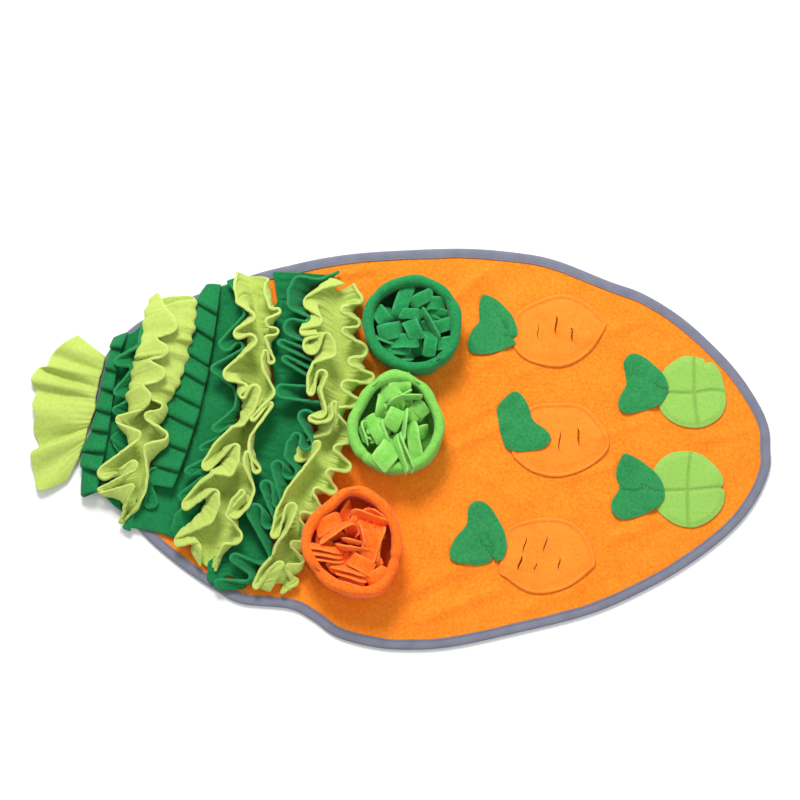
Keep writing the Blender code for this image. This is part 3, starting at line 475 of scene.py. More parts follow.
def makeBinding():
    count = tapeShape["samples"]
    line = closedLine(matLine, count)
    run = np.roll(line, -1, 0) - np.roll(line, 1, 0)
    inward = np.c_[-run[:, 1], run[:, 0], np.zeros(count)]
    inward /= np.linalg.norm(inward, axis=1)[:, None]
    wander, wanderSize, wanderSeed = tapeShape["wander"]
    puff, puffSize, puffSeed = tapeShape["puff"]
    reach = tapeShape["reach"] + wander * noiseAt(line, wanderSize, wanderSeed)
    puff = puff * (0.5 + 0.5 * noiseAt(line, puffSize, puffSeed))
    thick, top = tapeShape["thick"], levels["tapeTop"]
    profile = [
        # part of the reach, extra inward, height, puffed, the tape's own v in mm
        (1.0, 0.0, 0.0, 0, 0), (0.5, 0.0, 0.0, 0, 5), (0.0, 1.0 * mm, 0.0, 0, 9),
        (0.0, 0.3 * mm, 0.5 * mm, 0, 9.7), (0.0, 0.0, 1.5 * mm, 0, 10.6),
        (0.0, 0.1 * mm, 2.5 * mm, 0, 11.6), (0.0, 0.6 * mm, 3.3 * mm, 0, 12.6),
        (0.0, 1.5 * mm, top, 1, 13.6), (0.35, 0.0, top, 1, 15.5), (0.6, 0.0, top, 1, 18),
        (0.74, 0.0, top - 0.25 * mm, 0, 19.4), (0.8, 0.0, top - 0.3 * mm, 0, 20),
        (0.86, 0.0, top - 0.2 * mm, 0, 20.6), (0.95, 0.0, top, 1, 21.6),
        (1.0, 0.0, top - 0.2 * mm, 1, 22.4), (1.0, 0.0, top - thick, 0, 23),
        (0.3, 0.0, top - thick, 0, 24), (0.0, 1.2 * mm, top - 1.4 * mm, 0, 25),
        (0.0, 1.2 * mm, 1.0 * mm, 0, 26), (0.3, 0.0, thick, 0, 27), (1.0, 0.0, thick, 0, 28),
    ]
    rings = []
    for part, extra, height, puffed, _ in profile:
        ring = line + inward * (reach * part + extra)[:, None]
        ring[:, 2] = height + puff * puffed
        rings.append(ring)
    ringCount = len(profile)
    across = [v * mm for *_, v in profile] + [(profile[-1][-1] + 1) * mm]
    along = np.append(lengthsAlong(line), lengthsAlong(line)[-1] + tapeShape["lastStep"])
    faces, corners = [], []
    for r in range(ringCount):
        s = (r + 1) % ringCount
        for i in range(count):
            j = (i + 1) % count
            faces.append((r * count + i, s * count + i, s * count + j, r * count + j))
            corners += [(along[i], across[r]), (along[i], across[r + 1]),
                        (along[i + 1], across[r + 1]), (along[i + 1], across[r])]
    thing = newThing("edgeTape", "greyTape", np.vstack(rings), faces)
    thing.data.uv_layers.new(name="along").data.foreach_set(
        "uv", np.array(corners, np.float32).ravel())
    rework(thing, lambda work: bmesh.ops.recalc_face_normals(work, faces=work.faces))
    thing.data.shade_smooth()
    stitches = line + inward * (reach * tapeShape["stitchAt"])[:, None]
    stitches[:, 2] = top - tapeShape["stitchLow"]
    return thing, stitches


edgeTape, tapeStitches = makeBinding()
finishSheet(edgeTape, "binding", tapeShape["width"], ["baseCloth"])
print("base and tape made")

# ---- ruffles: one strip each, sewn down its middle, whose cut edges run round pegs

ruffleLook = dict(
    thick=3.2 * mm, seamPoints=121, seamBand=5 * mm, look=0.01,
    tapeReach=15 * mm, tapeRamp=8 * mm,                          # the climb on to the tape
    arcStep=math.radians(20), lineStep=2.4 * mm,                 # spacing of the points
    bow=(0.11, 2.4 * mm), sway=(0.08, 0.7 * mm), swayStep=9 * mm,       # of runs between pegs
    rows=np.array((0, 0.16, 0.32, 0.44, 0.54, 0.63, 0.72, 0.81, 0.89, 0.96, 1.0)),
    midFold=1.15,                                                # of the pegs' radii, midway
    gather=1.2 * mm, gatherStep=10 * mm, drift=(2 * mm, 310), flatter=(0.7, 0.4),
    calmest=0.25, wavy=0.35,                                     # the gathers of a laid half
    skirtLow=4.6 * mm, scallop=(1.6 * mm, 21 * mm), lowerPart=(0.42, 0.16),
    stepRun=0.14, stepRise=7 * mm, stepOut=2.6 * mm,
    waves=[(0.55 * mm, 15 * mm, 1), (0.22 * mm, 5 * mm, 2)],
)
pleatLook = dict(
    lap=0.03, overlap=0.02, readAt=5 * mm, low=4.6 * mm, layer=5.6 * mm, climb=1.3,
    puff=1.2 * mm, jag=2.2 * mm, rows=11,
    skew=0.045, perPleat=6, rootAt=0.3, lift=1.6 * mm, raised=(0.2, 1.0), sink=(1.1, 0.65),
    # how a pleat's end turns under: ahead along the row, height in layers, lifted, jag
    tuck=[(0.034, 1.55, 1, 1.0), (0.03, 1.05, 1, 0.9), (-0.012, 0.6, 0, 0.3),
          (-0.039, 0.3, 0, 0.0)],
)
# lines where two neighbouring rows meet low down, as right and down
borders = {
    "bc": [(150, 302), (143, 325), (142, 352), (134, 368), (131, 390), (124, 420), (128, 440),
           (118, 462), (108, 480), (118, 505), (121, 523)],
    "cd": [(192, 296), (196, 308), (190, 340), (186, 366), (171, 400), (168, 430), (163, 455),
           (152, 478), (146, 490), (140, 510), (124, 526)],
    "de": [(232, 272), (244, 306), (241, 335), (238, 355), (230, 378), (236, 396), (238, 420),
           (222, 445), (208, 470), (200, 490), (192, 512), (184, 540)],
    "ef": [(275, 278), (279, 310), (279, 332), (275, 360), (276, 392), (263, 418), (259, 432),
           (262, 470), (256, 497), (247, 525), (240, 545), (222, 568)],
    "fg": [(322, 274), (306, 300), (308, 318), (302, 334), (303, 350), (312, 374), (310, 392),
           (320, 410), (311, 420), (311, 442), (298, 474), (284, 506), (277, 530), (266, 560),
           (250, 584)],
    "end": [(356, 284), (363, 301), (362, 339), (370, 358), (374, 374), (361, 392), (349, 410),
            (345, 440), (350, 468), (340, 478), (322, 500), (311, 514), (306, 540), (309, 564),
            (298, 582), (284, 593)],
}
# pegs are (right, down, radius, height in mm); carry and rise are how far out and how high the
# cloth is midway. A skirt names the border that a half's lower part lies out to: under is how
# far it goes past it, wave how much it follows the pegs, both for the row's upper and lower
# part, and part how much it rises with the edge. Steps and pleats lie along the row, 0 to 1,
# and pleats end at until.
ruffles = {
    "ruffle_b": dict(
        name="greenOuter", fleece="greenFleece", width=0.05,
        seam=[(129, 334), (120, 364), (116, 395), (112, 430), (107, 460), (101, 492)],
        left=dict(under=(0, 0), pleats=(0.05, 0.18, 0.3, 0.43, 0.55, 0.68, 0.82, 1.0), until=1.0,
                  carry=0.7, rise=0.65, pegs=[
            (114, 338, 0, 7), (106, 374, 1.6, 12), (107, 370, 1.6, 6), (100, 401, 1.6, 12),
            (101, 397, 1.6, 6), (93, 431, 1.6, 12), (94, 427, 1.6, 6), (83, 455, 1.6, 12),
            (84, 451, 1.6, 9), (84, 474, 5, 9), (85, 497, 0, 7)]),
        right=dict(skirt="bc", under=(14, 14), wave=(0.42, 0.42), part=0.06, carry=0.5, rise=0.75,
                   pegs=[
            (141, 323, 0, 16), (133, 344, 6, 23), (119, 362, 4.5, 23), (128, 370, 3, 19),
            (119, 392, 4.5, 22), (124, 400, 2.6, 16), (117, 410, 4, 16), (121, 424, 4, 11),
            (116, 438, 4.5, 11), (119, 455, 4, 9), (110, 486, 0, 8)])),
    "ruffle_c": dict(
        name="limeOuter", fleece="limeFleece", width=0.07,
        seam=[(172, 296), (166, 330), (158, 365), (150, 400), (145, 430), (143.5, 463), (140, 485),
              (130, 514)],
        left=dict(skirt="bc", under=(1, -3), wave=(0.05, 0.35), part=0.36, steps=(0.27,),
                  carry=0.55, rise=0.75, pegs=[
            (158, 292, 0, 12), (168, 312, 2, 27), (172, 326, 7.6, 31), (162, 338, 2.4, 32),
            (164.5, 350, 6.6, 33), (155, 360, 2, 32), (160, 373, 8, 33), (149, 385, 2.2, 32),
            (149, 396, 5.4, 32), (146, 406, 2.2, 29), (121.5, 418.5, 4.2, 21), (139, 434, 5, 30),
            (107, 472, 7.5, 18), (136.5, 463.5, 5, 30), (101.5, 489, 2.5, 15),
            (134.5, 485.5, 3.6, 29), (120, 522, 0, 8)]),
        right=dict(skirt="cd", under=(1, -3), wave=(0.05, 0.35), part=0.36, steps=(0.2, 0.42),
                   carry=1.2, rise=0.55, pegs=[
            (190, 303, 0, 10), (170, 311, 7.4, 20), (173, 326, 1.6, 23), (165, 338, 7.6, 22),
            (166, 350, 1.4, 24), (158, 361, 7, 23), (161, 373, 1.8, 24), (152, 386, 7.4, 23),
            (151, 397, 1.2, 25), (159, 405, 4, 26), (150, 415, 4.2, 31), (164, 434, 5, 26),
            (150, 446, 4, 31), (147, 474, 3.5, 25), (139, 500, 3, 18), (130, 516, 0, 8)])),
    "ruffle_d": dict(
        name="greenSecond", fleece="greenFleece", width=0.055,
        seam=[(222, 286), (217, 330), (209, 380), (197, 430), (180, 480), (160, 532)],
        left=dict(skirt="cd", under=(6, 6), wave=(0.4, 0.4), part=0.06,
                  pleats=(0.06, 0.15, 0.25, 0.32, 0.41, 0.49, 0.59, 0.68, 0.76), until=0.76,
                  carry=0.7, rise=0.65, pegs=[
            (212, 285, 0, 7), (194, 322, 1.6, 12), (195, 318, 1.6, 6), (183, 361, 1.6, 12),
            (184, 357, 1.6, 6), (172, 396, 1.6, 12), (173, 392, 1.6, 6), (166, 430, 1.6, 12),
            (167, 426, 1.6, 6), (163, 462, 4, 10), (156, 472, 5, 12), (154, 502, 6, 10),
            (148, 492, 2, 9), (133, 531, 0, 7)]),
        right=dict(skirt="de", under=(13, 20), wave=(0.42, 0.4), part=0.06, carry=0.5, rise=0.75,
                   pegs=[
            (226, 281, 0, 16), (235, 300, 5, 23), (240, 314, 4, 28), (226, 345, 7.0, 28),
            (238.5, 346.5, 4.4, 28), (215.5, 369, 4.5, 26), (228, 392, 7, 19), (229, 405, 6, 19),
            (217, 428.5, 4.5, 24), (230, 428, 3, 20), (204, 448, 4.2, 22), (215, 450, 3, 17),
            (190, 470.5, 4.5, 20), (203, 471, 3, 14), (184, 496, 4.8, 16), (197, 492, 3, 12),
            (180, 516, 5, 11), (175, 536, 0, 8)])),
    "ruffle_e": dict(
        name="limeSecond", fleece="limeFleece", width=0.085,
        seam=[(250, 276), (256, 310), (261, 341), (262, 370), (264, 392), (247, 420), (244, 450),
              (233, 475), (225, 493), (223, 515), (214, 545), (209, 566)],
        left=dict(skirt="de", under=(-2, -2), wave=(0.35, 0.35), part=0.36, carry=0.45, rise=0.7,
                  pegs=[
            (237, 272, 0, 18), (240, 302, 3.5, 30), (251, 318, 5, 35), (239, 334.5, 5, 32),
            (252, 341, 6.5, 37), (231, 375, 7, 29), (246, 388, 3.6, 34), (245, 396, 3, 33),
            (257, 390.5, 6, 36), (242, 421, 5.5, 35), (235, 429, 2.6, 33), (208, 465.5, 5.5, 24),
            (238, 447.5, 4.2, 34), (231, 470, 6, 34), (218, 477, 4, 32), (187.5, 505.5, 4.5, 20),
            (218.5, 493, 4, 32), (209, 515, 9, 28), (180.5, 541.5, 4.5, 16), (198, 547.5, 6, 20),
            (203, 566, 0, 10)]),
        right=dict(skirt="ef", under=(-3, -3), wave=(0.35, 0.35), part=0.36, carry=0.45, rise=0.7,
                   pegs=[
            (264, 282, 0, 24), (273, 306, 3.8, 32), (278, 311, 2.8, 31), (270.5, 322, 5, 34),
            (275.5, 331, 3.5, 31), (268, 338, 2.8, 34), (272, 361, 3.2, 30), (266, 352, 2.4, 34),
            (267, 368, 4, 34), (268.5, 392, 7, 30), (254, 419, 2.4, 35), (272, 404, 2.8, 29),
            (258.5, 430.5, 2.5, 34), (256, 442, 6, 33), (257, 457, 4, 33), (258, 469.5, 3.8, 31),
            (248.5, 453, 2.4, 35), (252, 463, -7, 35), (245, 489, 11, 31), (236, 511.5, 6, 32),
            (243.5, 490.5, 2.6, 36), (232, 513, 4.5, 34), (236, 534.5, 8, 26),
            (228, 545.5, 4.5, 24), (217, 570, 0, 10)])),
    "ruffle_f": dict(
        name="greenThird", fleece="greenFleece", width=0.065,
        seam=[(300, 272), (294, 310), (292, 360), (292, 400), (281, 450), (266, 490), (252, 530),
              (232, 575)],
        left=dict(carry=0.55, rise=0.6, pegs=[
            (272, 271, 0, 7), (273, 300, 4, 6.5), (271, 322, 4, 6), (269, 345, 4, 6),
            (268, 372, 5, 6), (266, 398, 4, 6), (257, 415, 4, 6), (252, 440, 5, 6),
            (247, 470, 6, 6), (236, 510, 6, 6), (225, 540, 6, 6), (214, 563, 5, 6),
            (212, 583, 0, 6)]),
        right=dict(skirt="fg", under=(23, 20), wave=(0.6, 0.5), part=0.06, carry=0.45, rise=0.7,
                   pegs=[
            (340, 270, 0, 10), (317, 270, -9, 17), (299.5, 284, 8.5, 27), (295, 303, 8, 30),
            (306, 319, 3.2, 30), (292, 327.5, 9, 30), (306.5, 346, 3.4, 27), (281, 343, 3.6, 30),
            (309, 364, 4.4, 25), (285, 359, 3.4, 30), (309, 382, 4.6, 24), (282, 391, 7, 28),
            (319, 408.5, 7, 25), (305, 416.5, 7, 30), (306, 443.5, 6.5, 29), (296, 436.5, 4.6, 26),
            (291, 455, 6.5, 26), (289.5, 471.5, 7, 23), (277.5, 465, 6, 30), (277.5, 503, 4, 24),
            (266.5, 484.5, 5.8, 30), (268.5, 521, 6.5, 22), (255, 509.5, 8, 28), (262, 555, 8, 17),
            (236, 556, 5, 20), (246, 574, 4.8, 16), (219, 581, 4, 10), (219, 588, 0, 8)])),
    "ruffle_g": dict(
        name="limeThird", fleece="limeFleece", width=0.085,
        seam=[(338, 290), (339, 320), (344, 345), (342, 403), (334, 424), (330, 443), (318, 467),
              (303, 495), (300, 520), (290, 560), (284, 582)],
        left=dict(skirt="fg", under=(-3, -3), wave=(0.35, 0.35), part=0.36, carry=0.4, rise=0.7,
                  pegs=[
            (346, 284, 0, 18), (310, 304, 7, 25), (318, 322, 5, 34), (304, 333, 3.5, 31),
            (317, 337, 1.6, 34), (312, 347.5, 8.2, 32), (328.5, 338, 4.5, 35), (332, 352.5, 6, 33),
            (316, 366, 3, 33), (311, 393, 3.2, 31), (323, 375, 5.5, 35), (329.5, 391, -7, 35),
            (320, 411.5, 7.5, 34), (311.5, 419, 2.8, 33), (325, 413.5, 9.5, 34),
            (336, 403, 2.4, 36), (327, 430, 5, 24), (300, 452.5, 10, 19), (318, 443.5, 4.3, 32),
            (298, 494, -12, 28), (276, 533.5, 4, 26), (293.5, 506, 6, 33), (297, 530, -7, 33),
            (281, 558, -8, 25), (257.5, 584, 3.5, 13), (282.5, 562, 4, 24), (272, 590, 0, 9)]),
        right=dict(skirt="end", under=(-3, -3), wave=(0.35, 0.35), part=0.36, carry=0.6, rise=0.65,
                   pegs=[
            (352, 284, 0, 14), (357, 300, 5.5, 20), (344.5, 310, 4.6, 29), (355.5, 323, 4.4, 25),
            (345.5, 331, 4.2, 31), (360.5, 350, 7, 24), (353, 362, 5.5, 29), (369, 378, 5.6, 21),
            (347, 386, 6.6, 28), (357, 403, 4.6, 24), (341, 411, 4.8, 31), (350, 436, 7, 23),
            (338, 448, 4.6, 29), (346, 466, 5.2, 21), (331, 473, 5.4, 27), (333, 490, 4.6, 20),
            (318, 490, 4.4, 27), (318, 508, 5.6, 21), (304, 514, 4.4, 26), (307, 534, 5.6, 21),
            (295, 542, 4.2, 23), (301, 557, 4.2, 17), (290, 565, 4, 16), (297, 579, 3.6, 11),
            (284, 592, 0, 8)])),
}


def laid(rows):
    # points lifted where they would press into the base or the tape
    points = rows.reshape(-1, 3)
    reach, ramp = ruffleLook["tapeReach"], ruffleLook["tapeRamp"]
    onTape = softStep((outsideBy(matLine, points) + reach + ramp) / ramp)
    lowest = (levels["floorTop"] + (levels["tapeTop"] - levels["floorTop"]) * onTape
              + levels["clothRest"])
    points[:, 2] = np.maximum(points[:, 2], lowest)
    return points.reshape(rows.shape)


def leftOf(heading):
    return Vector((-math.sin(heading), math.cos(heading)))


def bendSides(pegs):
    # 1 where the edge turns left round a peg, -1 where it turns right
    sides = [1] * len(pegs)
    for i in range(1, len(pegs) - 1):
        before, after = pegs[i][0] - pegs[i - 1][0], pegs[i + 1][0] - pegs[i][0]
        sides[i] = 1 if before.cross(after) * pegs[i][1] > 0 else -1
    return sides


def arcRun(peg, side, start, heading):
    # round a peg, from one heading to the next: (point at 0..1, length, turned angle)
    centre, radius, height = peg
    turned = (heading - start) * side % (2 * math.pi)
    if turned > 1.75 * math.pi:            # a small turn back, not nearly a whole round
        turned -= 2 * math.pi

    def arc(f):
        spot = centre - leftOf(start + turned * side * f) * (side * radius)
        return (spot.x, spot.y, height)

    return arc, abs(turned) * radius, abs(turned)


def plainRun(peg, side, nextPeg, nextSide, heading, dice):
    # from a peg to the next, bowed between two that turn the same way
    low = peg[0] - leftOf(heading) * (side * peg[1])
    high = nextPeg[0] - leftOf(heading) * (nextSide * nextPeg[1])
    length = (high - low).length
    part, most = ruffleLook["bow"]
    bend = -side * min(part * length, most) if side == nextSide else 0.0
    turns = max(1, round(length / ruffleLook["swayStep"]))
    part, most = ruffleLook["sway"]
    sway = dice.uniform(-1, 1) * min(most, part * length)

    def straight(f):
        fade = math.sin(math.pi * f) ** 2
        spot = low.lerp(high, f) + leftOf(heading) * (
            fade * (bend + sway * math.sin(2 * math.pi * f * turns)))
        return (spot.x, spot.y, peg[2] + (nextPeg[2] - peg[2]) * f)

    return straight, length, 0.0


def beltRun(pegs, sides, dice):
    # the edge as a belt round the pegs: plain runs with an arc at each peg between them
    headings = []
    for (a, ra, _), (b, rb, _), side, nextSide in zip(pegs, pegs[1:], sides, sides[1:]):
        apart = b - a
        ratio = np.clip((nextSide * rb - side * ra) / apart.length, -0.98, 0.98)
        headings.append(math.atan2(apart.y, apart.x) - math.asin(ratio))
    stretches = []
    for i, heading in enumerate(headings):
        if i:
            stretches.append(arcRun(pegs[i], sides[i], headings[i - 1], heading))
        stretches.append(plainRun(pegs[i], sides[i], pegs[i + 1], sides[i + 1], heading, dice))
    return stretches


def rising(values):
    # the values smoothed, and made to rise from 0 to 1
    least = 0.25 / len(values)
    soft = values[:]
    for _ in range(2):
        soft = ([0.0] + [0.25 * a + 0.5 * b + 0.25 * c for a, b, c in zip(soft, soft[1:], soft[2:])]
                + [1.0])
    for i in range(1, len(soft)):
        soft[i] = max(soft[i], soft[i - 1] + least)
    return [value / soft[-1] for value in soft]


def readLine(line, fractions):
    spots = np.clip(fractions, 0, 1) * (len(line) - 1)
    return np.stack([np.interp(spots, np.arange(len(line)), column) for column in line.T], axis=-1)


def outFrom(seam, fractions):
    # unit vectors in XY, square to the seam and towards its right in the layout
    look = ruffleLook["look"]
    ahead = readLine(seam, fractions + look) - readLine(seam, fractions - look)
    away = np.c_[-ahead[:, 1], ahead[:, 0], np.zeros(len(ahead))]
    return away / np.linalg.norm(away, axis=1)[:, None]


def softened(line, passes):
    # a row softened along its length; its two ends stay
    line = line.copy()
    for _ in range(passes):
        line[1:-1] = 0.25 * line[:-2] + 0.5 * line[1:-1] + 0.25 * line[2:]
    return line


def skirtLine(half, side, middle, edge, far, fractions, away, dice):
    # the middle row laid out to a border, and how much of the pegs' folds is left in it
    start, fade = ruffleLook["lowerPart"]
    lower = softStep((fractions - start) / fade)
    under, wave = (half[key][0] * (1 - lower) + half[key][1] * lower for key in ("under", "wave"))
    low = ruffleLook["skirtLow"]
    scallop, scallopStep = ruffleLook["scallop"]
    border = evenLine(curveThrough([place(*p, low) for p in borders[half["skirt"]]]),
                      ruffleLook["seamPoints"])
    reach = (under * layout["step"]
             + scallop * np.sin(2 * math.pi * far / scallopStep + dice.uniform(0, 6)))
    out = readLine(border, fractions) + away * (side * reach)[:, None]
    out[:, :2] = out[:, :2] * (1 - wave)[:, None] + middle[:, :2] * wave[:, None]
    out[:, 2] = low + edge[:, 2] * half["part"]
    out = softened(out, 3)
    run = ruffleLook["stepRun"]
    for step in half.get("steps", ()):
        climb = np.clip((fractions - step + run) / run, 0, 1) * (fractions < step)
        out[:, 2] += ruffleLook["stepRise"] * climb
        out += away * (side * ruffleLook["stepOut"] * climb)[:, None]
    return out, wave


def ruffleHalf(seam, half, side, dice):
    # rows of points from the seam out to the cut edge, and each point's place along the seam
    pegs = [(place(right, down, height * mm).xy, radius * layout["step"], height * mm)
            for right, down, radius, height in half["pegs"]]
    sides = bendSides(pegs)
    pegs = [(centre, abs(radius), height) for centre, radius, height in pegs]
    edge = beltRun(pegs, sides, dice)
    pegSpots = rising([int(np.linalg.norm(seam[:, :2] - np.array(centre), axis=1).argmin())
                       / (len(seam) - 1) for centre, _, _ in pegs])
    carry, rise, base = half["carry"], half["rise"], levels["clothRest"] + levels["floorTop"]
    middle = beltRun([(Vector(root[:2]).lerp(centre, carry),
                       radius * min(carry * ruffleLook["midFold"], 1),
                       base + (height - base) * rise)
                      for (centre, radius, height), root
                      in zip(pegs, readLine(seam, np.array(pegSpots)))], sides, dice)
    spots = [(0, 0.0)]
    for index, (_, length, turned) in enumerate(edge):
        parts = max(1, math.ceil(turned / ruffleLook["arcStep"]) if turned
                    else math.ceil(length / ruffleLook["lineStep"]))
        spots += [(index, k / parts) for k in range(1, parts + 1)]
    starts = np.concatenate(([0], np.cumsum([length for _, length, _ in edge])))
    keys = [0.0] + [(starts[2 * i - 1] + starts[2 * i]) / 2 for i in range(1, len(pegs) - 1)]
    far = np.array([starts[index] + edge[index][1] * f for index, f in spots])
    fractions = np.interp(far, keys + [starts[-1]], pegSpots)
    edge, middle = (np.array([run[index][0](f) for index, f in spots]) for run in (edge, middle))
    away = outFrom(seam, fractions)
    root = readLine(seam, fractions) + away * (side * ruffleLook["seamBand"] / 2)
    edge[:, 2] = softened(edge[:, 2:], 4)[:, 0]
    calm = 1.0
    if "skirt" in half:
        middle, wave = skirtLine(half, side, middle, edge, far, fractions, away, dice)
        calm = np.clip(wave / ruffleLook["wavy"], ruffleLook["calmest"], 1)
    t = ruffleLook["rows"][:, None, None]
    rows = root * (1 - t) * (1 - 2 * t) + middle * 4 * t * (1 - t) + edge * t * (2 * t - 1)
    phase = dice.uniform(0, 6)
    drift, rate = ruffleLook["drift"]
    along = far + drift * np.sin(far * rate + phase)
    ripple = np.sin(2 * math.pi * along / ruffleLook["gatherStep"] + phase) * calm
    power, lower = ruffleLook["flatter"]
    t = ruffleLook["rows"][:, None]
    rows[:, :, 2] += (ruffleLook["gather"] * ripple * (4 * t * (1 - t)) ** power
                      * (1 - lower * t))
    return laid(rows), fractions


def pleatedHalf(seam, half, side, seed):
    # flat pleats lying over each other like shingles, from the seam out to the cut edge
    # (of two close pegs that turn a fold, only the higher one counts)
    outer = evenLine(curveThrough([place(right, down, pleatLook["readAt"])
                                   for right, down, radius, height in half["pegs"]
                                   if radius != 1.6 or height > 6]), ruffleLook["seamPoints"])
    lap, low, layer, each = (pleatLook[key] for key in ("lap", "low", "layer", "perPleat"))
    spots = [(0.0, low, 0.0, 0.0)]         # place along the row, height, lift, jag outwards
    dice = random.Random(seed)
    for start, end in zip((0.0, *half["pleats"]), half["pleats"]):
        for f in [k / each for k in range(1, each + 1)]:
            spots.append((start - lap + (end - start + 2 * lap) * f,
                          low + layer * 2 * f ** pleatLook["climb"]
                          + pleatLook["puff"] * math.sin(f * math.pi), 0.0, f))
        if end < half["until"]:
            lift = dice.uniform(*pleatLook["raised"])
            spots[-1] = (*spots[-1][:2], lift, 1.0)
            spots += [(end + ahead, low + layer * high, lift * lifted, jag)
                      for ahead, high, lifted, jag in pleatLook["tuck"]]
    fractions, height, lift, jags = np.array(spots).T
    fractions = np.clip(fractions, 0, 1)
    skew = pleatLook["skew"] * np.sin(np.pi * fractions) ** 0.5
    away = outFrom(seam, fractions + skew) * side
    root = readLine(seam, fractions + skew) + away * (ruffleLook["seamBand"] * pleatLook["rootAt"])
    reach = half["under"][0] * layout["step"] + jags * pleatLook["jag"]
    edge = readLine(outer, fractions - skew) + away * reach[:, None]
    t = np.linspace(0, 1, pleatLook["rows"])[:, None]
    rows = root * (1 - t[..., None]) + edge * t[..., None]
    full, sink = pleatLook["sink"]
    rows[:, :, 2] = height * (full - sink * t ** 3) + lift * pleatLook["lift"] * t * (1 - t) * 4
    return laid(rows)


def cutEdge(rows):
    # 1 on the last row, the cut edge, lightened by its fuzz and a painted highlight
    trim = np.zeros(rows.shape[:2])
    trim[-1] = 1
    return trim.ravel()


def makeRuffle(row, seed):
    seam = evenLine(curveThrough([place(right, down, levels["floorTop"] + levels["clothRest"])
                                  for right, down in row["seam"]]), ruffleLook["seamPoints"])
    dice = random.Random(seed)
    left, leftSpots = ruffleHalf(seam, row["left"], -1, dice)
    right, rightSpots = ruffleHalf(seam, row["right"], 1, dice)
    leftCount, rightCount, offset = len(leftSpots), len(rightSpots), left.shape[0] * left.shape[1]
    halves = [left, right]
    faces = gridFaces(*left.shape[:2])
    i, j, bridge = 0, 0, []                # the two halves are joined along the seam
    while i < leftCount - 1 or j < rightCount - 1:
        if j == rightCount - 1 or (i < leftCount - 1 and leftSpots[i + 1] < rightSpots[j + 1]):
            bridge.append((i, offset + j, i + 1))
            i += 1
        else:
            bridge.append((i, offset + j, offset + j + 1))
            j += 1
    if "pleats" in row["left"]:            # pleats take the left half's place up to until
        keep = row["left"]["until"] - pleatLook["overlap"]
        faces = [face for face in faces if leftSpots[face[0] % leftCount] >= keep]
        halves.append(pleatedHalf(seam, row["left"], -1, seed))
        faces += gridFaces(*halves[2].shape[:2], start=offset + right.shape[0] * right.shape[1])
    faces += gridFaces(*right.shape[:2], start=offset, turned=True) + bridge
    points = np.vstack([half.reshape(-1, 3) for half in halves])
    thing = newThing(row["name"], row["fleece"], points, faces,
                     trim=np.concatenate([cutEdge(half) for half in halves]))
    rework(thing, lambda work: bmesh.ops.delete(
        work, geom=[v for v in work.verts if not v.link_faces], context="VERTS"))
    thicken(thing, ruffleLook["thick"])
    roughen(thing, ruffleLook["waves"], levels["floorTop"], seed * 10)
    return thing


for number, (node, row) in enumerate(ruffles.items()):
    finishSheet(makeRuffle(row, number + 1), node, row["width"], ["baseCloth"])
print("ruffles made")

# ---- leaf fan past the blunt end

fanLook = dict(width=0.075, thick=2.2 * mm, between=9, rows=26, lowest=0.6,
               pleat=(0.35 * mm, 1.5, 0.6),        # height, turns from rib to rib, start
               fold=(3.5, 1.6),                    # heights over the first, in mm, are raised
               waves=[(0.5 * mm, 14 * mm, 71), (0.2 * mm, 5 * mm, 72)])
fanRibs = [
    # root right, down, tip right, down, root height, mid height, tip height
    (105, 357, 77, 335, 5.5, 4.5, 3.0), (104, 364, 61, 345, 6.0, 7.5, 5.5),
    (102, 373, 50, 356, 5.5, 4.5, 2.2), (100, 379, 47, 366, 6.5, 9.5, 7.5),
    (98, 390, 38, 368, 5.5, 4.0, 2.0), (97, 394, 31, 380, 6.5, 9.0, 6.0),
    (96, 401, 36, 391, 6.0, 4.5, 2.0), (96, 409, 33, 404, 6.5, 8.0, 6.5),
    (93, 418, 36, 415, 6.5, 9.0, 7.5), (91, 424, 34, 430, 6.5, 7.5, 3.5),
    (89, 428, 40, 447, 5.5, 3.5, 1.8), (88, 434, 32, 455, 6.5, 8.5, 6.0),
    (86, 442, 36, 476, 6.0, 4.5, 2.0), (83, 449, 42, 491, 5.5, 5.5, 6.0),
    (80, 458, 69, 480, 5.5, 4.5, 3.0),
]


def makeFan():
    # a smooth sheet through the ribs, which are its crests and valleys
    stations = []
    low, more = fanLook["fold"]
    for right, down, endRight, endDown, *heights in fanRibs:
        root, tip = place(right, down, heights[0] * mm), place(endRight, endDown, heights[2] * mm)
        stations.append((*root.xy, *tip.xy, *(max(z, low + (z - low) * more) * mm
                                              for z in heights)))
    lines = curveThrough(stations, fanLook["between"])
    pleat, turns, phase = fanLook["pleat"]
    f = np.linspace(0, 1, fanLook["rows"])
    points, trim = [], []
    for number, (x0, y0, x1, y1, rootZ, midZ, tipZ) in enumerate(lines):
        z = rootZ * (1 - f) * (1 - 2 * f) + midZ * 4 * f * (1 - f) + tipZ * f * (2 * f - 1)
        rib = number / fanLook["between"] * 2 * math.pi
        z = z + pleat * np.sin(rib * turns + phase) * (1 - f) ** 1.5
        points.append(np.c_[x0 + (x1 - x0) * f, y0 + (y1 - y0) * f, z])
        trim.append(np.ones(len(f)) if number in (0, len(lines) - 1) else f > 0.999)
    points = np.vstack(points)
    points[:, 2] = np.maximum(points[:, 2], fanLook["lowest"] * fanLook["thick"])
    thing = newThing("leafFan", "limeFleece", points, gridFaces(len(lines), len(f)),
                     trim=np.concatenate(trim))
    thicken(thing, fanLook["thick"])
    roughen(thing, fanLook["waves"], 0.0)
    return thing


finishSheet(makeFan(), "leaf_fan", fanLook["width"], ["baseCloth"])
print("leaf fan made")

# ---- cups: a soft fleece wall with a rolled rim

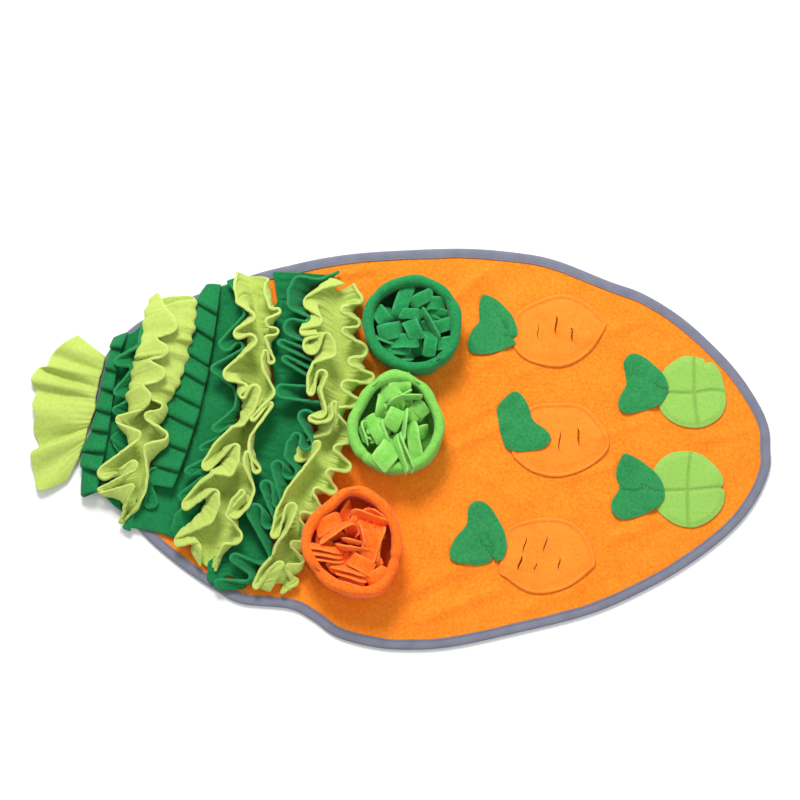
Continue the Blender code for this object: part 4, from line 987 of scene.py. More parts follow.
cupLook = dict(width=0.06, segments=168, rim=10.5 * mm, foot=levels["floorTop"] + levels["gap"],
               floor=levels["floorTop"] + levels["gap"] + 2 * mm,
               dentEnd=0.3, dentInside=-0.4, dentTop=(0.6, 0.8, 0.2),
               waves=[(1.5 * mm, 23 * mm, 81), (0.5 * mm, 8 * mm, 82)])
# across the wall, from the foot outside over the rim to the floor inside
cupProfile = [
    # part of the radius, inward in rim widths, part of the height
    (0.93, 0.0, 0.0), (0.955, -0.05, 0.06), (0.965, -0.05, 0.2), (0.975, -0.02, 0.4),
    (0.985, 0.0, 0.6), (0.995, 0.0, 0.76), (1.0, 0.0, 0.86), (1.0, 0.06, 0.93), (1.0, 0.2, 0.975),
    (1.0, 0.38, 0.997), (1.0, 0.56, 1.0), (1.0, 0.74, 0.985), (1.0, 0.9, 0.95), (1.0, 1.0, 0.89),
    (1.0, 1.03, 0.8), (1.0, 1.0, 0.7), (0.99, 0.93, 0.55), (0.98, 0.86, 0.4), (0.965, 0.8, 0.25),
    (0.95, 0.8, 0.12), (0.93, 0.9, None), (0.6, 0.9, None), (0.25, 0.9, None),
]
# radii in layout steps and heights in mm at equal angles; dents are (angle, depth in mm,
# half width in degrees, how far down the wall they go)
cups = {
    "cup_dark": dict(
        name="darkCup", fleece="cupGreenFleece", middle=(411, 322),
        radii=[50, 50, 49, 48, 48, 49, 48, 48, 47, 50, 52, 52],
        heights=[42, 42, 43, 43, 42, 42, 41, 40, 40, 40, 40, 41],
        dents=[(305, 1.6, 3, 1.0), (140, 1.2, 8, 0.5), (30, 0.9, 7, 0.4), (262, 1.0, 6, 0.5)]),
    "cup_light": dict(
        name="lightCup", fleece="lightGreenFleece", middle=(396, 422),
        radii=[48, 47, 51, 53, 49, 45, 48, 50, 50, 49, 50, 49],
        heights=[42, 42, 42, 43, 43, 42, 42, 41, 40, 40, 40, 41],
        dents=[(225, 1.6, 3, 1.0), (118, 1.5, 7, 0.6), (62, 1.0, 8, 0.5), (240, 1.0, 5, 0.5),
               (330, 1.0, 7, 0.5)]),
    "cup_orange": dict(
        name="orangeCup", fleece="orangeCupFleece", middle=(353, 539),
        radii=[49, 50, 53, 57, 48, 49, 51, 49, 50, 53, 58, 52],
        heights=[41, 41, 42, 43, 42, 41, 41, 41, 40, 40, 41, 41],
        dents=[(338, 2.2, 3.5, 1.0), (90, 1.2, 9, 0.5), (36, 1.2, 6, 0.7), (218, 1.6, 6, 0.6),
               (180, 1.0, 8, 0.4)]),
}


def around(values, angles):
    # a table at equal angles, read smoothly at any angle
    table = np.array(values, float)
    spot = angles / (2 * math.pi) * len(table)
    low = np.floor(spot).astype(int)
    return spanned(*(table[(low + k) % len(table)] for k in (-1, 0, 1, 2)), spot - low)


def cupMiddle(cup):
    return place(*cup["middle"], sum(cup["heights"]) / len(cup["heights"]) * mm)


def makeCup(cup, seed):
    count, foot, floor = cupLook["segments"], cupLook["foot"], cupLook["floor"]
    angles = np.arange(count) / count * 2 * math.pi
    radii = around(cup["radii"], angles) * layout["step"]
    heights = around(cup["heights"], angles) * mm
    middle = cupMiddle(cup)
    profile = curveThrough([(part, inward, level or 0.0, 1.0 if level is None else 0.0)
                            for part, inward, level in cupProfile], 2)
    topDent, topFrom, topFade = cupLook["dentTop"]
    rings = []
    for part, inward, level, onFloor in profile:
        radius = radii * part - inward * cupLook["rim"]
        z = foot + (heights - foot) * max(level, 0)
        z = np.maximum(z, foot + (floor - foot) * min(max(onFloor, 0), 1))
        for angle, depth, width, reach in cup["dents"]:
            turn = (np.degrees(angles) - angle + 180) % 360 - 180
            dent = (bell(turn, width) * depth * mm
                    * softStep((level - 1 + reach) / cupLook["dentEnd"] + 1))
            radius = radius - dent * (1 if inward < 0.5 else cupLook["dentInside"])
            z = z - dent * topDent * softStep((level - topFrom) / topFade)
        rings.append(np.c_[middle.x + radius * np.cos(angles),
                           middle.y + radius * np.sin(angles), z])
    points = np.vstack(rings + [[(middle.x, middle.y, floor)], [(middle.x, middle.y, foot)]])
    faces = gridFaces(len(rings), count, closed=True)
    last = (len(rings) - 1) * count
    for i in range(count):
        j = (i + 1) % count
        faces += [(last + i, last + j, len(points) - 2), (j, i, len(points) - 1)]
    thing = newThing(cup["name"], cup["fleece"], points, faces, trim=np.zeros(len(points)))
    settle(thing)
    roughen(thing, cupLook["waves"], foot, seed)
    return thing


for number, (node, cup) in enumerate(cups.items()):
    finishSheet(makeCup(cup, number * 7), node, cupLook["width"], ["baseCloth"])
print("cups made")

# ---- cut strips in the cups

stripLook = dict(
    width=0.05, thick=2.3 * mm, along=13, across=5, rootPull=0.5, rootLow=3 * mm,
    halfway=(0.62, 0.3),                           # up and out, from the root to the bend
    wider=1.12, longer=1.1, arch=2.6 * mm, flatter=110, droop=1.6 * mm, curl=1.5 * mm,
    slant=7 * mm, bendAt=0.6,
    backing=(17 * mm, 1.6 * mm, 0.96, 40),         # radius, thickness, taper, segments
    waves=[(0.6 * mm, 9 * mm, 91), (0.2 * mm, 4 * mm, 92)],
)
# filler strips: each value is drawn between its two ends
fillLook = dict(count=16, apart=2.4, turn=(-0.3, 0.3), heading=(-1.3, 1.3), reach=(0.28, 0.74),
                height=(22, 31), length=(15, 21), width=(11, 15), drop=(-4, 2), twist=(0, 40),
                tipTwist=(-30, 60))
# a strip rises from its cup's middle to a bend, then lies over to its tip
tufts = {
    "tuft_dark": dict(name="darkStrips", cup="cup_dark", strips=[
        # bend right, down, height, tip right, down, height, width, twist at bend and tip
        (386, 322, 33, 375, 308, 32, 14.5, 0, 0), (398, 316, 36, 408, 287, 33, 14, 10, -10),
        (414, 304, 38, 431, 294, 38, 12, 0, 15), (427, 304, 35, 444, 304, 33, 13, 0, 25),
        (424, 309, 31, 447, 316, 30, 10, 20, 30), (420, 315, 40, 402, 314, 40, 10, 0, -10),
        (409, 321, 41, 417, 338, 39, 15, 0, 0), (423, 312, 41, 437, 337, 38, 11, 70, 62),
        (437, 328, 35, 453, 323, 35, 12.5, 0, 10), (438, 345, 35, 454, 342, 36, 12, 0, -10),
        (431, 335, 36, 429, 355, 35, 12.5, 0, 8), (398, 330, 38, 380, 334, 35, 16, 0, -12),
        (418, 341, 37, 392, 342, 34, 14, 0, 15), (393, 343, 33, 376, 337, 32, 9, 60, 60),
        (407, 350, 32, 383, 350, 30, 10, 10, 20), (411, 358, 27, 394, 358, 26, 9, 40, 45)]),
    "tuft_light": dict(name="lightStrips", cup="cup_light", strips=[
        (400, 387, 38, 398, 373, 31, 21, 0, 0), (399, 387, 37, 383, 394, 33, 17, 0, 15),
        (400, 398, 41, 420, 397, 40, 12, 75, 80), (393, 402, 39, 409, 393, 41, 12, 70, 78),
        (399, 409, 40, 390, 427, 38, 16, 0, 0), (405.5, 411, 42, 403, 439, 40, 11, 72, 76),
        (411, 425, 39, 417, 458, 37, 13, 25, 10), (374, 426, 36, 382, 442, 35, 11, 15, 0),
        (380, 423, 37, 386, 440, 35, 9, 50, 50), (361, 424, 33, 366, 442, 33, 8, 60, 60),
        (392, 447, 38, 379, 463, 41, 21, 0, 5), (396, 440, 41, 406, 469, 42, 8, 55, 60),
        (400, 438, 42, 412, 467, 41, 8, 62, 62), (415, 404, 33, 425, 414, 31, 13, 10, 0)]),
    "tuft_orange": dict(name="orangeStrips", cup="cup_orange", strips=[
        (340, 517, 34, 319, 528, 32, 15, 0, 0), (350, 520, 41, 324, 538, 37, 13, 62, 66),
        (355, 511, 35, 385, 521, 33, 12, 66, 60), (371, 510, 33, 386, 519, 33, 9, 50, 50),
        (340, 545, 38, 366, 548, 38, 12, 78, 80), (347, 538, 41, 360, 541, 41, 12, 80, 80),
        (361, 526, 40, 365, 543, 39, 12, 78, 80), (338, 548, 37, 312, 543, 36, 10, 52, 55),
        (338, 553, 36, 312, 549, 34, 10, 52, 55), (339, 558, 34, 313, 555, 32, 10, 52, 55),
        (374, 527, 39, 370, 556, 37, 18, 10, 0), (383, 526, 38, 373, 558, 36, 10, 65, 70),
        (352, 556, 38, 372, 567, 37, 14, 0, 0), (366, 571, 36, 336, 563, 34, 10, 55, 52),
        (366, 577, 34, 338, 569, 32, 10, 52, 52), (364, 583, 32, 340, 576, 30, 10, 50, 50),
        (369, 579, 33, 387, 567, 33, 13, 0, 5)]),
}


def fillerStrips(cup, seed):
    # lower strips between those that show, in the same form as the table's
    dice = random.Random(seed)
    middle = Vector(cup["middle"])
    inner = min(cup["radii"]) - cupLook["rim"] / layout["step"] - 2
    found = []
    for number in range(fillLook["count"]):
        turn = number * fillLook["apart"] + dice.uniform(*fillLook["turn"])
        reach = inner * dice.uniform(*fillLook["reach"])
        heading = turn + dice.uniform(*fillLook["heading"])
        height, width, length = (dice.uniform(*fillLook[key])
                                 for key in ("height", "width", "length"))
        bend = middle + reach * Vector((math.cos(turn), math.sin(turn)))
        tip = bend + length * Vector((math.cos(heading), math.sin(heading)))
        if (tip - middle).length > inner - 1:
            tip = middle + (tip - middle).normalized() * (inner - 1)
        found.append((*bend, height, *tip, height + dice.uniform(*fillLook["drop"]), width,
                      dice.uniform(*fillLook["twist"]), dice.uniform(*fillLook["tipTwist"])))
    return found


def stripPoints(strip, middle, slant, curl):
    # a grid of points, along the strip and across it
    right, down, height, tipRight, tipDown, tipHeight, width, twist, tipTwist = strip
    along, across, bendAt = (stripLook[key] for key in ("along", "across", "bendAt"))
    bend = place(right, down, height * mm)
    tip = bend.lerp(place(tipRight, tipDown, tipHeight * mm), stripLook["longer"])
    root = Vector((middle.x, middle.y, cupLook["floor"] + stripLook["rootLow"]))
    root.xy = root.xy.lerp(bend.xy, stripLook["rootPull"])
    up, out = stripLook["halfway"]
    halfway = root.lerp(bend, up)
    halfway.xy = root.xy.lerp(bend.xy, out)
    arch = stripLook["arch"] * (1 - abs(twist) / stripLook["flatter"])
    over = bend.lerp(tip, 0.5) + Vector((0, 0, arch))
    tip = tip - Vector((0, 0, stripLook["droop"]))
    path = evenLine(curveThrough([root, halfway, bend, over, tip], 8), along)
    heading = (tip - bend).xy.normalized()
    broad = Vector((heading.y, -heading.x, 0))
    s = np.linspace(-0.5, 0.5, across)[:, None]
    points = []
    for k, f in enumerate(np.linspace(0, 1, along)):
        tangent = Vector(path[min(k + 1, along - 1)] - path[max(k - 1, 0)]).normalized()
        turned = (twist * min(1, f / bendAt)
                  + (tipTwist - twist) * max(0, (f - bendAt) / (1 - bendAt)))
        side = Matrix.Rotation(math.radians(turned), 3, tangent) @ broad
        side = (side - tangent * side.dot(tangent)).normalized()
        points.append(path[k] + np.array(side) * (s * width * stripLook["wider"] * mm)
                      + np.array(tangent.cross(side)) * ((s * s * 4 - 0.5) * curl * f)
                      + np.array(tangent) * (s * slant * f ** 3))
    return points


def makeStrips(tuft, seed):
    cup = cups[tuft["cup"]]
    middle = cupMiddle(cup)
    along, across = stripLook["along"], stripLook["across"]
    trim = np.zeros((along, across))
    trim[:, (0, -1)] = trim[-1] = 1
    points, faces = [], []
    dice = random.Random(seed + 9)
    for number, strip in enumerate(tuft["strips"] + fillerStrips(cup, seed)):
        slant = dice.uniform(-1, 1) * stripLook["slant"]
        points += stripPoints(strip, middle, slant, stripLook["curl"] * (1 if number % 3 else -1))
        faces += gridFaces(along, across, number * along * across)
    thing = newThing(tuft["name"], cup["fleece"], np.vstack(points), faces,
                     trim=np.tile(trim.ravel(), number + 1))
    thicken(thing, stripLook["thick"], 2)
    roughen(thing, stripLook["waves"])
    radius, thick, taper, segments = stripLook["backing"]      # the roots are sewn to it
    spot = (middle.x, middle.y, cupLook["floor"] + levels["gap"] + thick / 2)
    rework(thing, lambda work: bmesh.ops.create_cone(
        work, cap_ends=True, segments=segments, radius1=radius, radius2=radius * taper,
        depth=thick, matrix=Matrix.Translation(spot)))
    return thing


for number, (node, tuft) in enumerate(tufts.items()):
    finishSheet(makeStrips(tuft, number + 40), node, stripLook["width"],
                [cups[tuft["cup"]]["name"]])
print("cut strips made")

# ---- flat pieces sewn on the base: patches, rounds and leaves

# insets in mm of the rings inside an outline, then inner more rings to its middle
flatLook = dict(samples=180, seamSamples=160, foldSamples=60, foldInset=20.0,
                insets=(0, 0.35, 0.9, 1.7, 2.6, 3.5, 4.4, 5.3, 6.3, 7.6, 9.4), inner=14,
                deepest=(40, 60), rounded=0.9, waves=[(0.25 * mm, 12 * mm, 61)])
# in these looks press is painted shade along stitches and folds, and trim the width in mm of the
# cut edge lightened by fuzz and a painted highlight
patchLook = dict(fleece="patchFleece", thread="orangeThread", width=0.075, thick=1.8 * mm,
                 trim=0.8, stitchAt=4.6, groove=0.65 * mm, grooveWidth=1.3, puff=1.2 * mm,
                 puffFrom=(5, 9), rim=(0.75, 1.5), rimEnds=(3.4, 1.6), lip=5.5 * mm,
                 lipEnds=(1.05, 1.75, 0.7), press=(0.4, 0.8, 0.4))
slitLook = dict(low=-1 * mm, high=12 * mm, bow=0.6 * mm, points=12, blunt=0.7)
# slits: (start right, down, end right, down, opening in mm, lift of its left and right lip in mm)
patches = {
    "patch_top": dict(name="topPatch", outline=[
        (515, 332), (515, 316), (532, 303), (562, 294), (586, 302), (605, 320), (604, 332),
        (588, 354), (563, 367), (532, 363), (514, 348)],
        slits=[(557, 316, 556, 336, 2.2, 0.6, 2.4), (571.5, 328, 573, 344, 1.8, 0.5, 2.0),
               (538, 324, 538.5, 341, 0.7, 0.6, 1.0)]),
    "patch_middle": dict(name="middlePatch", outline=[
        (511, 451), (519, 428), (530, 407), (560, 403), (583, 406), (600, 423), (609, 442),
        (603, 456), (583, 470), (559, 477), (537, 474), (521, 465)],
        slits=[(559.5, 430, 558.5, 453, 1.1, 0.6, 1.2), (577, 429, 579, 447, 2.2, 0.8, 1.6)]),
    "patch_bottom": dict(name="bottomPatch", outline=[
        (498, 570), (502, 548), (506, 529), (525, 520), (548, 517), (571, 522), (587, 539),
        (594, 561), (588, 570), (568, 585), (545, 592), (525, 590), (505, 577)],
        slits=[(525.5, 537, 522, 553, 1.1, 0.5, 1.2), (521, 555, 517, 570, 2.0, 0.6, 1.8),
               (546, 536, 542.5, 552, 1.3, 0.5, 1.2), (535.5, 562, 533.5, 570, 1.1, 0.5, 1.1),
               (558.5, 557, 557, 570, 1.2, 0.5, 1.0)]),
}
roundLook = dict(fleece="roundFleece", thread="limeThread", width=0.068, thick=2.0 * mm,
                 trim=1.2, groove=(1.9 * mm, 0.85), puff=1.36 * mm, puffWidth=7,
                 press=(1.5 * mm, 0.8), stitched=2)
# folds are polylines along which the cloth is sewn or folded down
rounds = {
    "round_top": dict(name="topRound", outline=[
        (726, 398), (723, 412), (714, 422), (698, 428), (680, 426), (665, 417), (657, 402),
        (657, 384), (664, 370), (676, 360), (688, 356), (703, 359), (706, 363), (713, 363),
        (721, 374)],
        folds=[[(694, 356), (694.5, 372), (694, 392), (695.5, 410), (698, 428)],
               [(662, 393), (680, 394), (694, 394), (710, 391), (726, 392)]]),
    "round_bottom": dict(name="bottomRound", outline=[
        (722, 484), (719.5, 488), (723, 491), (722, 503), (715, 514), (703, 523), (689, 527),
        (672, 523), (657, 511), (649, 494), (651, 473), (663, 457), (681, 451), (699, 454),
        (713, 465), (721, 476)],
        folds=[[(690, 453), (687.5, 470), (686, 492), (686, 510), (686.5, 527)],
               [(652, 491), (670, 491), (687, 490.5), (704, 489), (722, 487)]]),
}
leafLook = dict(fleece="leafFleece", thread="paleThread", width=0.055, thick=1.6 * mm, trim=1.2,
                climb=(14 * mm, 2.5 * mm), rest=2.4 * mm, onRound=0.9 * mm, puff=0.5 * mm,
                puffWidth=6, groove=(1.6 * mm, 0.8 * mm), press=(1.1 * mm, 0.8), stitched=1)
# lifts: corner right, down, how wide around it in mm, how high in mm
leaves = {
    "leaf_a": dict(name="leafA", over="topPatch", outline=[
        (482, 296), (490, 296), (499, 301), (511, 314), (517, 328), (517, 336), (513, 339),
        (516, 344), (511, 347), (491, 354), (472, 353), (468, 344), (472, 331), (479, 321),
        (479, 308)],
        lifts=[(482, 296, 15, 3.2), (469, 347, 14, 2.6), (488, 354, 10, 1.2)],
        folds=[[(500, 318), (506, 328), (509, 338)], [(504, 336), (512, 339), (517, 339)]]),
    "leaf_b": dict(name="leafB", over="middlePatch", outline=[
        (514, 392), (506, 397), (497, 408), (498, 420), (501, 436), (507, 449), (523, 452),
        (542, 449), (550, 439), (545, 430), (533, 421), (528, 406), (521, 395)],
        lifts=[(512, 392, 15, 2.6), (547, 440, 14, 2.4), (498, 412, 10, 1.4)],
        folds=[]),
    "leaf_c": dict(name="leafC", over="bottomPatch", outline=[
        (476, 501), (468, 508), (466, 524), (455, 537), (449, 552), (454, 561), (475, 564),
        (489, 561), (492, 556), (495, 560), (502, 558), (506, 547), (505, 536), (499, 521),
        (488, 505)],
        lifts=[(476, 501, 14, 2.8), (451, 556, 14, 2.6)],
        folds=[[(476, 536), (482, 545), (490, 556)], [(486, 534), (492, 545), (491, 556)],
               [(483, 545), (489, 547)]]),
    "leaf_d": dict(name="leafD", over="topRound", outline=[
        (624, 362), (632, 354), (644, 357), (656, 367), (665, 378), (668, 391), (659, 405),
        (642, 411), (625, 414), (618, 407), (620, 396), (626, 385), (625, 374)],
        lifts=[(628, 356, 14, 2.6), (620, 411, 14, 2.4)],
        folds=[[(652, 384), (660, 390), (668, 391)]]),
    "leaf_e": dict(name="leafE", over="bottomRound", outline=[
        (625, 454), (619, 460), (615, 474), (618, 488), (611, 500), (610, 510), (617, 518),
        (630, 518), (651, 510), (662, 500), (662, 486), (655, 474), (640, 461)],
        lifts=[(622, 456, 14, 2.8), (613, 514, 14, 2.4)],
        folds=[[(640, 486), (652, 491), (662, 493)], [(622, 490), (634, 491), (645, 488)]]),
}
neighbours = {part["name"]: closedLine([place(*p) for p in part["outline"]], 90)
              for part in (*patches.values(), *rounds.values())}


def insetLine(line, middle, inset):
    # the outline moved towards the middle, by an inset in mm
    reach = np.linalg.norm(line - middle, axis=1)[:, None]
    return line + (middle - line) * (inset * mm / reach)


def flatOutline(outline, samples):
    # the outline, anticlockwise, and its middle
    line = closedLine([place(*p, levels["floorTop"]) for p in outline], samples)
    area = (line[:, 0] * np.roll(line[:, 1], -1) - np.roll(line[:, 0], -1) * line[:, 1]).sum()
    return (line[::-1] if area < 0 else line), line.mean(0)


def lineGroove(spots, lines, width, depth):
    # a soft groove along polylines given as right and down
    low = np.zeros(len(spots))
    for line in lines:
        for start, end in zip(line[:-1], line[1:]):
            low = np.maximum(low, depth * bell(lineDistance(spots, place(*start), place(*end)),
                                               width))
    return low


# a shape gives what is added to the height of the cloth's underside, and a press gives painted
# shade along stitches and folds, both at points and their insets in mm
def patchShape(patch, look, spots, insets):
    # a stitched rim, a soft middle, and raised lips along the slits
    inset, fade = look["puffFrom"]
    part, rimWidth = look["rim"]
    rimEnd, rimFade = look["rimEnds"]
    full, narrower, power = look["lipEnds"]
    lift = look["puff"] * (softStep((insets - inset) / fade) + part * softStep(insets / rimWidth)
                           * (1 - softStep((insets - rimEnd) / rimFade)))
    lift -= look["groove"] * bell(insets - look["stitchAt"], look["grooveWidth"])
    for right, down, endRight, endDown, _, leftLip, rightLip in patch["slits"]:
        start, end = np.array(place(right, down).xy), np.array(place(endRight, endDown).xy)
        length = np.linalg.norm(end - start)
        run = (end - start) / length
        side = (spots[:, 0] - start[0]) * run[1] - (spots[:, 1] - start[1]) * run[0]
        beyond = np.abs((spots[:, :2] - (start + end) / 2) @ run) / length
        swell = np.clip(full - (beyond * narrower) ** 2, 0, 1) ** power
        lift += (np.where(side < 0, rightLip, leftLip) * mm * swell
                 * bell(lineDistance(spots, start, end), look["lip"]))
    return np.maximum(lift, 0)


def patchPaintedShade(_, look, spots, insets):
    # painted shade along the stitches, and a painted shadow under the cut edge
    paintedShadeStrength, width, edgeWidth = look["press"]
    return paintedShadeStrength * (bell(insets - look["stitchAt"], width) + bell(insets, edgeWidth))


def roundShape(part, look, spots, insets):
    width, depth = look["groove"]
    return (look["puff"] * softStep(insets / look["puffWidth"])
            * (1 - depth * lineGroove(spots, part["folds"], width, 1.0)))


def leafShape(leaf, look, spots, insets):
    # a leaf climbs on to the patch or round beside it
    start, end = look["climb"]
    climb = softStep((start - outsideBy(neighbours[leaf["over"]], spots)) / (start - end))
    onRound = look["onRound"] if "Round" in leaf["over"] else 0
    lift = climb * (look["rest"] + levels["gap"] + onRound)
    for right, down, width, height in leaf["lifts"]:
        far = np.linalg.norm(spots[:, :2] - np.array(place(right, down).xy), axis=1)
        lift += height * mm * bell(far, width * mm)
    lift += look["puff"] * softStep(insets / look["puffWidth"])
    return lift - lineGroove(spots, leaf["folds"], *look["groove"])


def foldPaintedShade(part, look, spots, insets):
    # painted shade along the lines where the cloth is sewn or folded down
    return lineGroove(spots, part["folds"], *look["press"])


def makeFlat(part, look, under, press):
    # a rounded slab of cloth inside an outline
    count, inner = flatLook["samples"], flatLook["inner"]
    line, middle = flatOutline(part["outline"], count)
    rings = [insetLine(line, middle, inset) for inset in flatLook["insets"]]
    last, insets = rings[-1], list(flatLook["insets"])
    nearMiddle, atMiddle = flatLook["deepest"]
    for k in range(1, inner):
        rings.append(last + (middle - last) * (k / inner))
        insets.append(flatLook["insets"][-1] + nearMiddle * k / inner)
    spots = np.vstack(rings + [[middle]])
    insets = np.append(np.repeat(insets, count), atMiddle)
    low = under(spots, insets)
    rounding = np.sqrt(1 - (1 - np.clip(insets / flatLook["rounded"], 0, 1)) ** 2)
    points = np.vstack([spots, spots])
    total = len(spots)
    points[:total, 2] = low + look["thick"] * (0.5 + 0.5 * rounding)
    points[total:, 2] = low + look["thick"] * (0.5 - 0.5 * rounding)
    faces = (gridFaces(len(rings), count, closed=True)
             + gridFaces(len(rings), count, total, closed=True, turned=True))
    first = (len(rings) - 1) * count
    for i in range(count):
        a, b = first + i, first + (i + 1) % count
        faces += [(a, b, total - 1), (total + b, total + a, 2 * total - 1)]
    # trim lightens the edge with fuzz and a painted highlight; press carries painted shade
    thing = newThing(part["name"], look["fleece"], points, faces,
                     trim=np.tile(np.clip(1 - insets / look["trim"], 0, 1), 2),
                     press=np.tile(press(part, look, spots, insets), 2))
    rework(thing, lambda work: bmesh.ops.remove_doubles(work, verts=work.verts, dist=0.01 * mm))
    roughen(thing, flatLook["waves"])
    return thing


def cutSlits(thing, slits):
    # long lens-shaped openings through the cloth
    work = bmesh.new()
    count = slitLook["points"]
    for right, down, endRight, endDown, opening, _, _ in slits:
        start, end = place(right, down).xy, place(endRight, endDown).xy
        run = end - start
        side = Vector((-run.y, run.x)).normalized()
        ring = []
        for k in range(2 * count):
            f = 1 - abs(1 - k / count)
            out = (opening / 2 * mm * math.sin(f * math.pi) ** slitLook["blunt"]
                   * (1 if k <= count else -1))
            ring.append(start + run * f
                        + side * (slitLook["bow"] * math.sin(f * math.pi * 2) + out))
        low, high = ([work.verts.new((p.x, p.y, levels["floorTop"] + slitLook[key]))
                      for p in ring] for key in ("low", "high"))
        work.faces.new(low[::-1])
        work.faces.new(high)
        for i in range(len(ring)):
            work.faces.new((low[i - 1], low[i], high[i], high[i - 1]))
    bmesh.ops.recalc_face_normals(work, faces=work.faces)
    data = bpy.data.meshes.new("slitCutter")
    work.to_mesh(data)
    work.free()
    cutter = bpy.data.objects.new("slitCutter", data)
    bpy.context.scene.collection.objects.link(cutter)
    cut = thing.modifiers.new("slits", "BOOLEAN")
    cut.operation = "DIFFERENCE"
    cut.object = cutter
    settle(thing)
    bpy.data.objects.remove(cutter, do_unlink=True)


stitchLines = {name: [] for name in threads}      # polylines on top of the cloth


def sewFlat(node, part, look, shape, press):
    def under(spots, insets):
        return (levels["floorTop"] + levels["gap"] + baseLift(spots)
                + shape(part, look, spots, insets))

    thing = makeFlat(part, look, under, press)
    if "slits" in part:
        cutSlits(thing, part["slits"])
        inset = look["stitchAt"]
        loop = insetLine(*flatOutline(part["outline"], flatLook["seamSamples"]), inset)
        lines = [np.vstack([loop, loop[:1]])]
    else:
        inset = flatLook["foldInset"]
        lines = [evenLine(curveThrough([place(*p) for p in fold]), flatLook["foldSamples"])
                 for fold in part["folds"][:look["stitched"]]]
    finishSheet(thing, node, look["width"],
                ["baseCloth"] + ([part["over"]] if "over" in part else []))
    for line in lines:
        line[:, 2] = under(line, np.full(len(line), inset)) + look["thick"]
        stitchLines[look["thread"]].append(line)


for node, part in patches.items():
    sewFlat(node, part, patchLook, patchShape, patchPaintedShade)
print("patches made")
for node, part in rounds.items():
    sewFlat(node, part, roundLook, roundShape, foldPaintedShade)
for node, part in leaves.items():
    sewFlat(node, part, leafLook, leafShape, foldPaintedShade)
print("rounds and leaves made")

# ---- stitching: Geometry Nodes lay a short thread every few millimetres along each line

stitchLook = {
    "orangeThread": dict(name="patchStitches", Pitch=2.9 * mm, Length=2.1 * mm,
                         Thickness=0.34 * mm, Seed=4),
    "limeThread": dict(name="roundStitches", Pitch=2.8 * mm, Length=2.0 * mm,
                       Thickness=0.36 * mm, Seed=5),
    "paleThread": dict(name="leafStitches", Pitch=3.1 * mm, Length=1.6 * mm,
                       Thickness=0.3 * mm, Seed=6),
    "greyThread": dict(name="tapeStitches", Pitch=3.2 * mm, Length=2.4 * mm,
                       Thickness=0.36 * mm, Seed=7),
}
wobbleMost = (0.06, 0.05, 0.14)       # how far a stitch may turn, in radians


def stitchTree():
    tree = bpy.data.node_groups.new("stitching", "GeometryNodeTree")
    kinds = dict(Geometry="Geometry", Pitch="Float", Length="Float", Thickness="Float",
                 Seed="Int", Thread="Material")
    sockets = {name: tree.interface.new_socket(name, in_out="INPUT",
                                               socket_type="NodeSocket" + kind).identifier
               for name, kind in kinds.items()}
    tree.interface.new_socket("Geometry", in_out="OUTPUT", socket_type="NodeSocketGeometry")

    def add(kind, inputs=(), **settings):
        node = tree.nodes.new(kind)
        for key, value in settings.items():
            setattr(node, key, value)
        for key, value in dict(inputs).items():
            node.inputs[key].default_value = value
        return node

    start, finish = add("NodeGroupInput"), add("NodeGroupOutput")
    curve = add("GeometryNodeMeshToCurve")
    spaced = add("GeometryNodeResampleCurve", mode="LENGTH")
    heading = add("GeometryNodeInputTangent")
    ahead = add("FunctionNodeAlignRotationToVector", axis="X")
    wobble = add("FunctionNodeRandomValue", data_type="FLOAT_VECTOR",
                 inputs={"Min": [-most for most in wobbleMost], "Max": wobbleMost})
    turned = add("FunctionNodeRotateRotation", rotation_space="LOCAL")
    bead = add("GeometryNodeMeshIcoSphere", {"Radius": 0.5, "Subdivisions": 2})
    size = add("ShaderNodeCombineXYZ")
    placed = add("GeometryNodeInstanceOnPoints")
    real = add("GeometryNodeRealizeInstances")
    soft = add("GeometryNodeSetShadeSmooth")
    paint = add("GeometryNodeSetMaterial")
    for source, output, target, socket in (
            (start, "Geometry", curve, "Mesh"), (curve, "Curve", spaced, "Curve"),
            (start, "Pitch", spaced, "Length"), (spaced, "Curve", placed, "Points"),
            (heading, "Tangent", ahead, "Vector"), (ahead, "Rotation", turned, "Rotation"),
            (start, "Seed", wobble, "Seed"), (wobble, "Value", turned, "Rotate By"),
            (turned, "Rotation", placed, "Rotation"), (bead, "Mesh", placed, "Instance"),
            (start, "Length", size, "X"), (start, "Thickness", size, "Y"),
            (start, "Thickness", size, "Z"), (size, "Vector", placed, "Scale"),
            (placed, "Instances", real, "Geometry"), (real, "Geometry", soft, "Geometry"),
            (soft, "Geometry", paint, "Geometry"), (start, "Thread", paint, "Material"),
            (paint, "Geometry", finish, "Geometry")):
        tree.links.new(source.outputs[output], target.inputs[socket])
    return tree, sockets


def makeStitches(lines, thread, look, tree, sockets):
    edges = []
    for line in lines:
        first = edges[-1][1] + 1 if edges else 0
        edges += [(k, k + 1) for k in range(first, first + len(line) - 1)]
    thing = newThing(look["name"], thread, np.vstack(lines), [], edges)
    sewing = thing.modifiers.new("stitching", "NODES")
    sewing.node_group = tree
    for name in ("Pitch", "Length", "Thickness", "Seed"):
        sewing[sockets[name]] = look[name]
    sewing[sockets["Thread"]] = materials[thread]
    settle(thing)
    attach(thing, "root")
    print(f"{thing.name}: {len(thing.data.polygons)} faces")


stitchLines["greyThread"].append(np.vstack([tapeStitches, tapeStitches[:1]]))
sewTree, sewSockets = stitchTree()
for thread, look in stitchLook.items():
    makeStitches(stitchLines[thread], thread, look, sewTree, sewSockets)
print("stitches made")

# ---- floor, light and camera

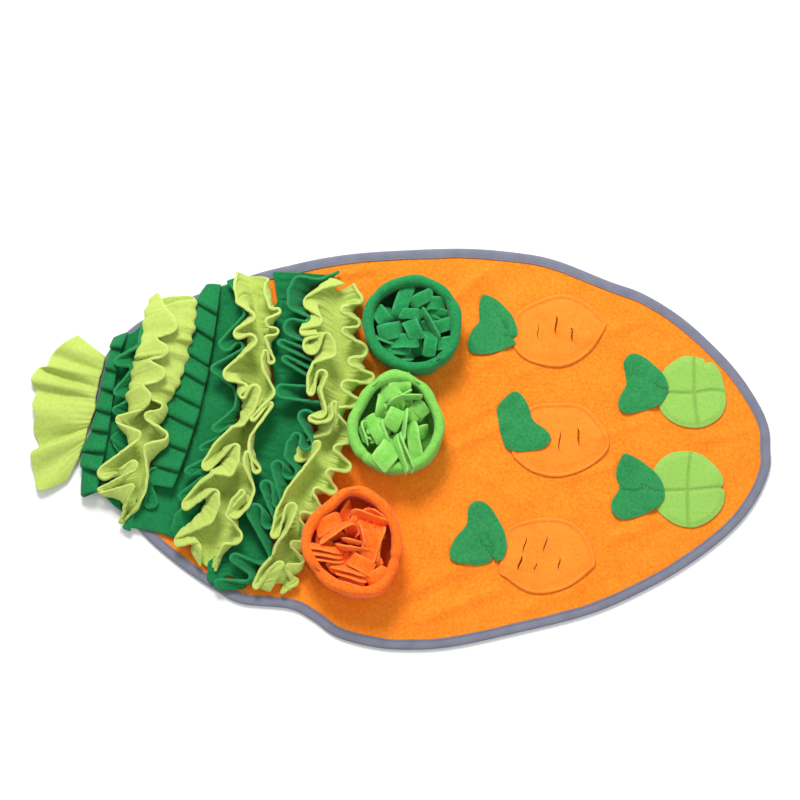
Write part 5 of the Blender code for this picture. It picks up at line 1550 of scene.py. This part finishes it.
studio = dict(floor=[(0.93, 0.93, 0.935), (0.95, 0.95, 0.95)], floorSize=12, floorLow=0.4 * mm,
              cloud=(1.5, 2, 0.5), world=0.55,
              keyLight=dict(spot=(-0.35, 1.6, 1.75), size=0.8, power=54),
              fillLight=dict(spot=(1.3, -0.9, 2.0), size=1.6, power=10))
view = dict(elevation=math.radians(80), distance=4.0, sees=0.813, sensor=36,
            middle=place(400, 400))


def makeFloor():
    half, low = studio["floorSize"] / 2, -studio["floorLow"]
    finish = Finish("floorPaper", 0.9, Specular_IOR_Level=0.1)
    finish.feed(Base_Color=finish.mix(finish.grain(*studio["cloud"]), *studio["floor"]))
    materials["floorPaper"] = finish.material
    newThing("floor", "floorPaper", [(-half, -half, low), (half, -half, low),
                                              (half, half, low), (-half, half, low)],
                      [(0, 1, 2, 3)])


def aimed(name, data, spot, back):
    # a lamp or camera that looks against the direction back
    thing = bpy.data.objects.new(name, data)
    thing.location = spot
    thing.rotation_euler = (-back).to_track_quat("-Z", "Y").to_euler()
    bpy.context.scene.collection.objects.link(thing)
    return thing


def makeLight(name):
    look = studio[name]
    lamp = bpy.data.lights.new(name, "AREA")
    lamp.size, lamp.energy = look["size"], look["power"]
    aimed(name, lamp, look["spot"], Vector(look["spot"]))


def makeCamera():
    lens = bpy.data.cameras.new("camera")
    lens.sensor_width = view["sensor"]
    lens.lens = view["sensor"] * view["distance"] / view["sees"]
    lens.clip_end = 50
    back = Vector((0, -math.cos(view["elevation"]), math.sin(view["elevation"])))
    bpy.context.scene.camera = aimed("camera", lens, view["middle"] + back * view["distance"],
                                     back)


def makeWorld():
    world = bpy.data.worlds.new("studio")
    world.use_nodes = True
    sky = world.node_tree.nodes["Background"]
    sky.inputs["Color"].default_value = (1, 1, 1, 1)
    sky.inputs["Strength"].default_value = studio["world"]
    bpy.context.scene.world = world


bpy.context.scene.view_settings.view_transform = "Standard"
makeFloor()
makeLight("keyLight")
makeLight("fillLight")
makeWorld()
makeCamera()
print("studio made")
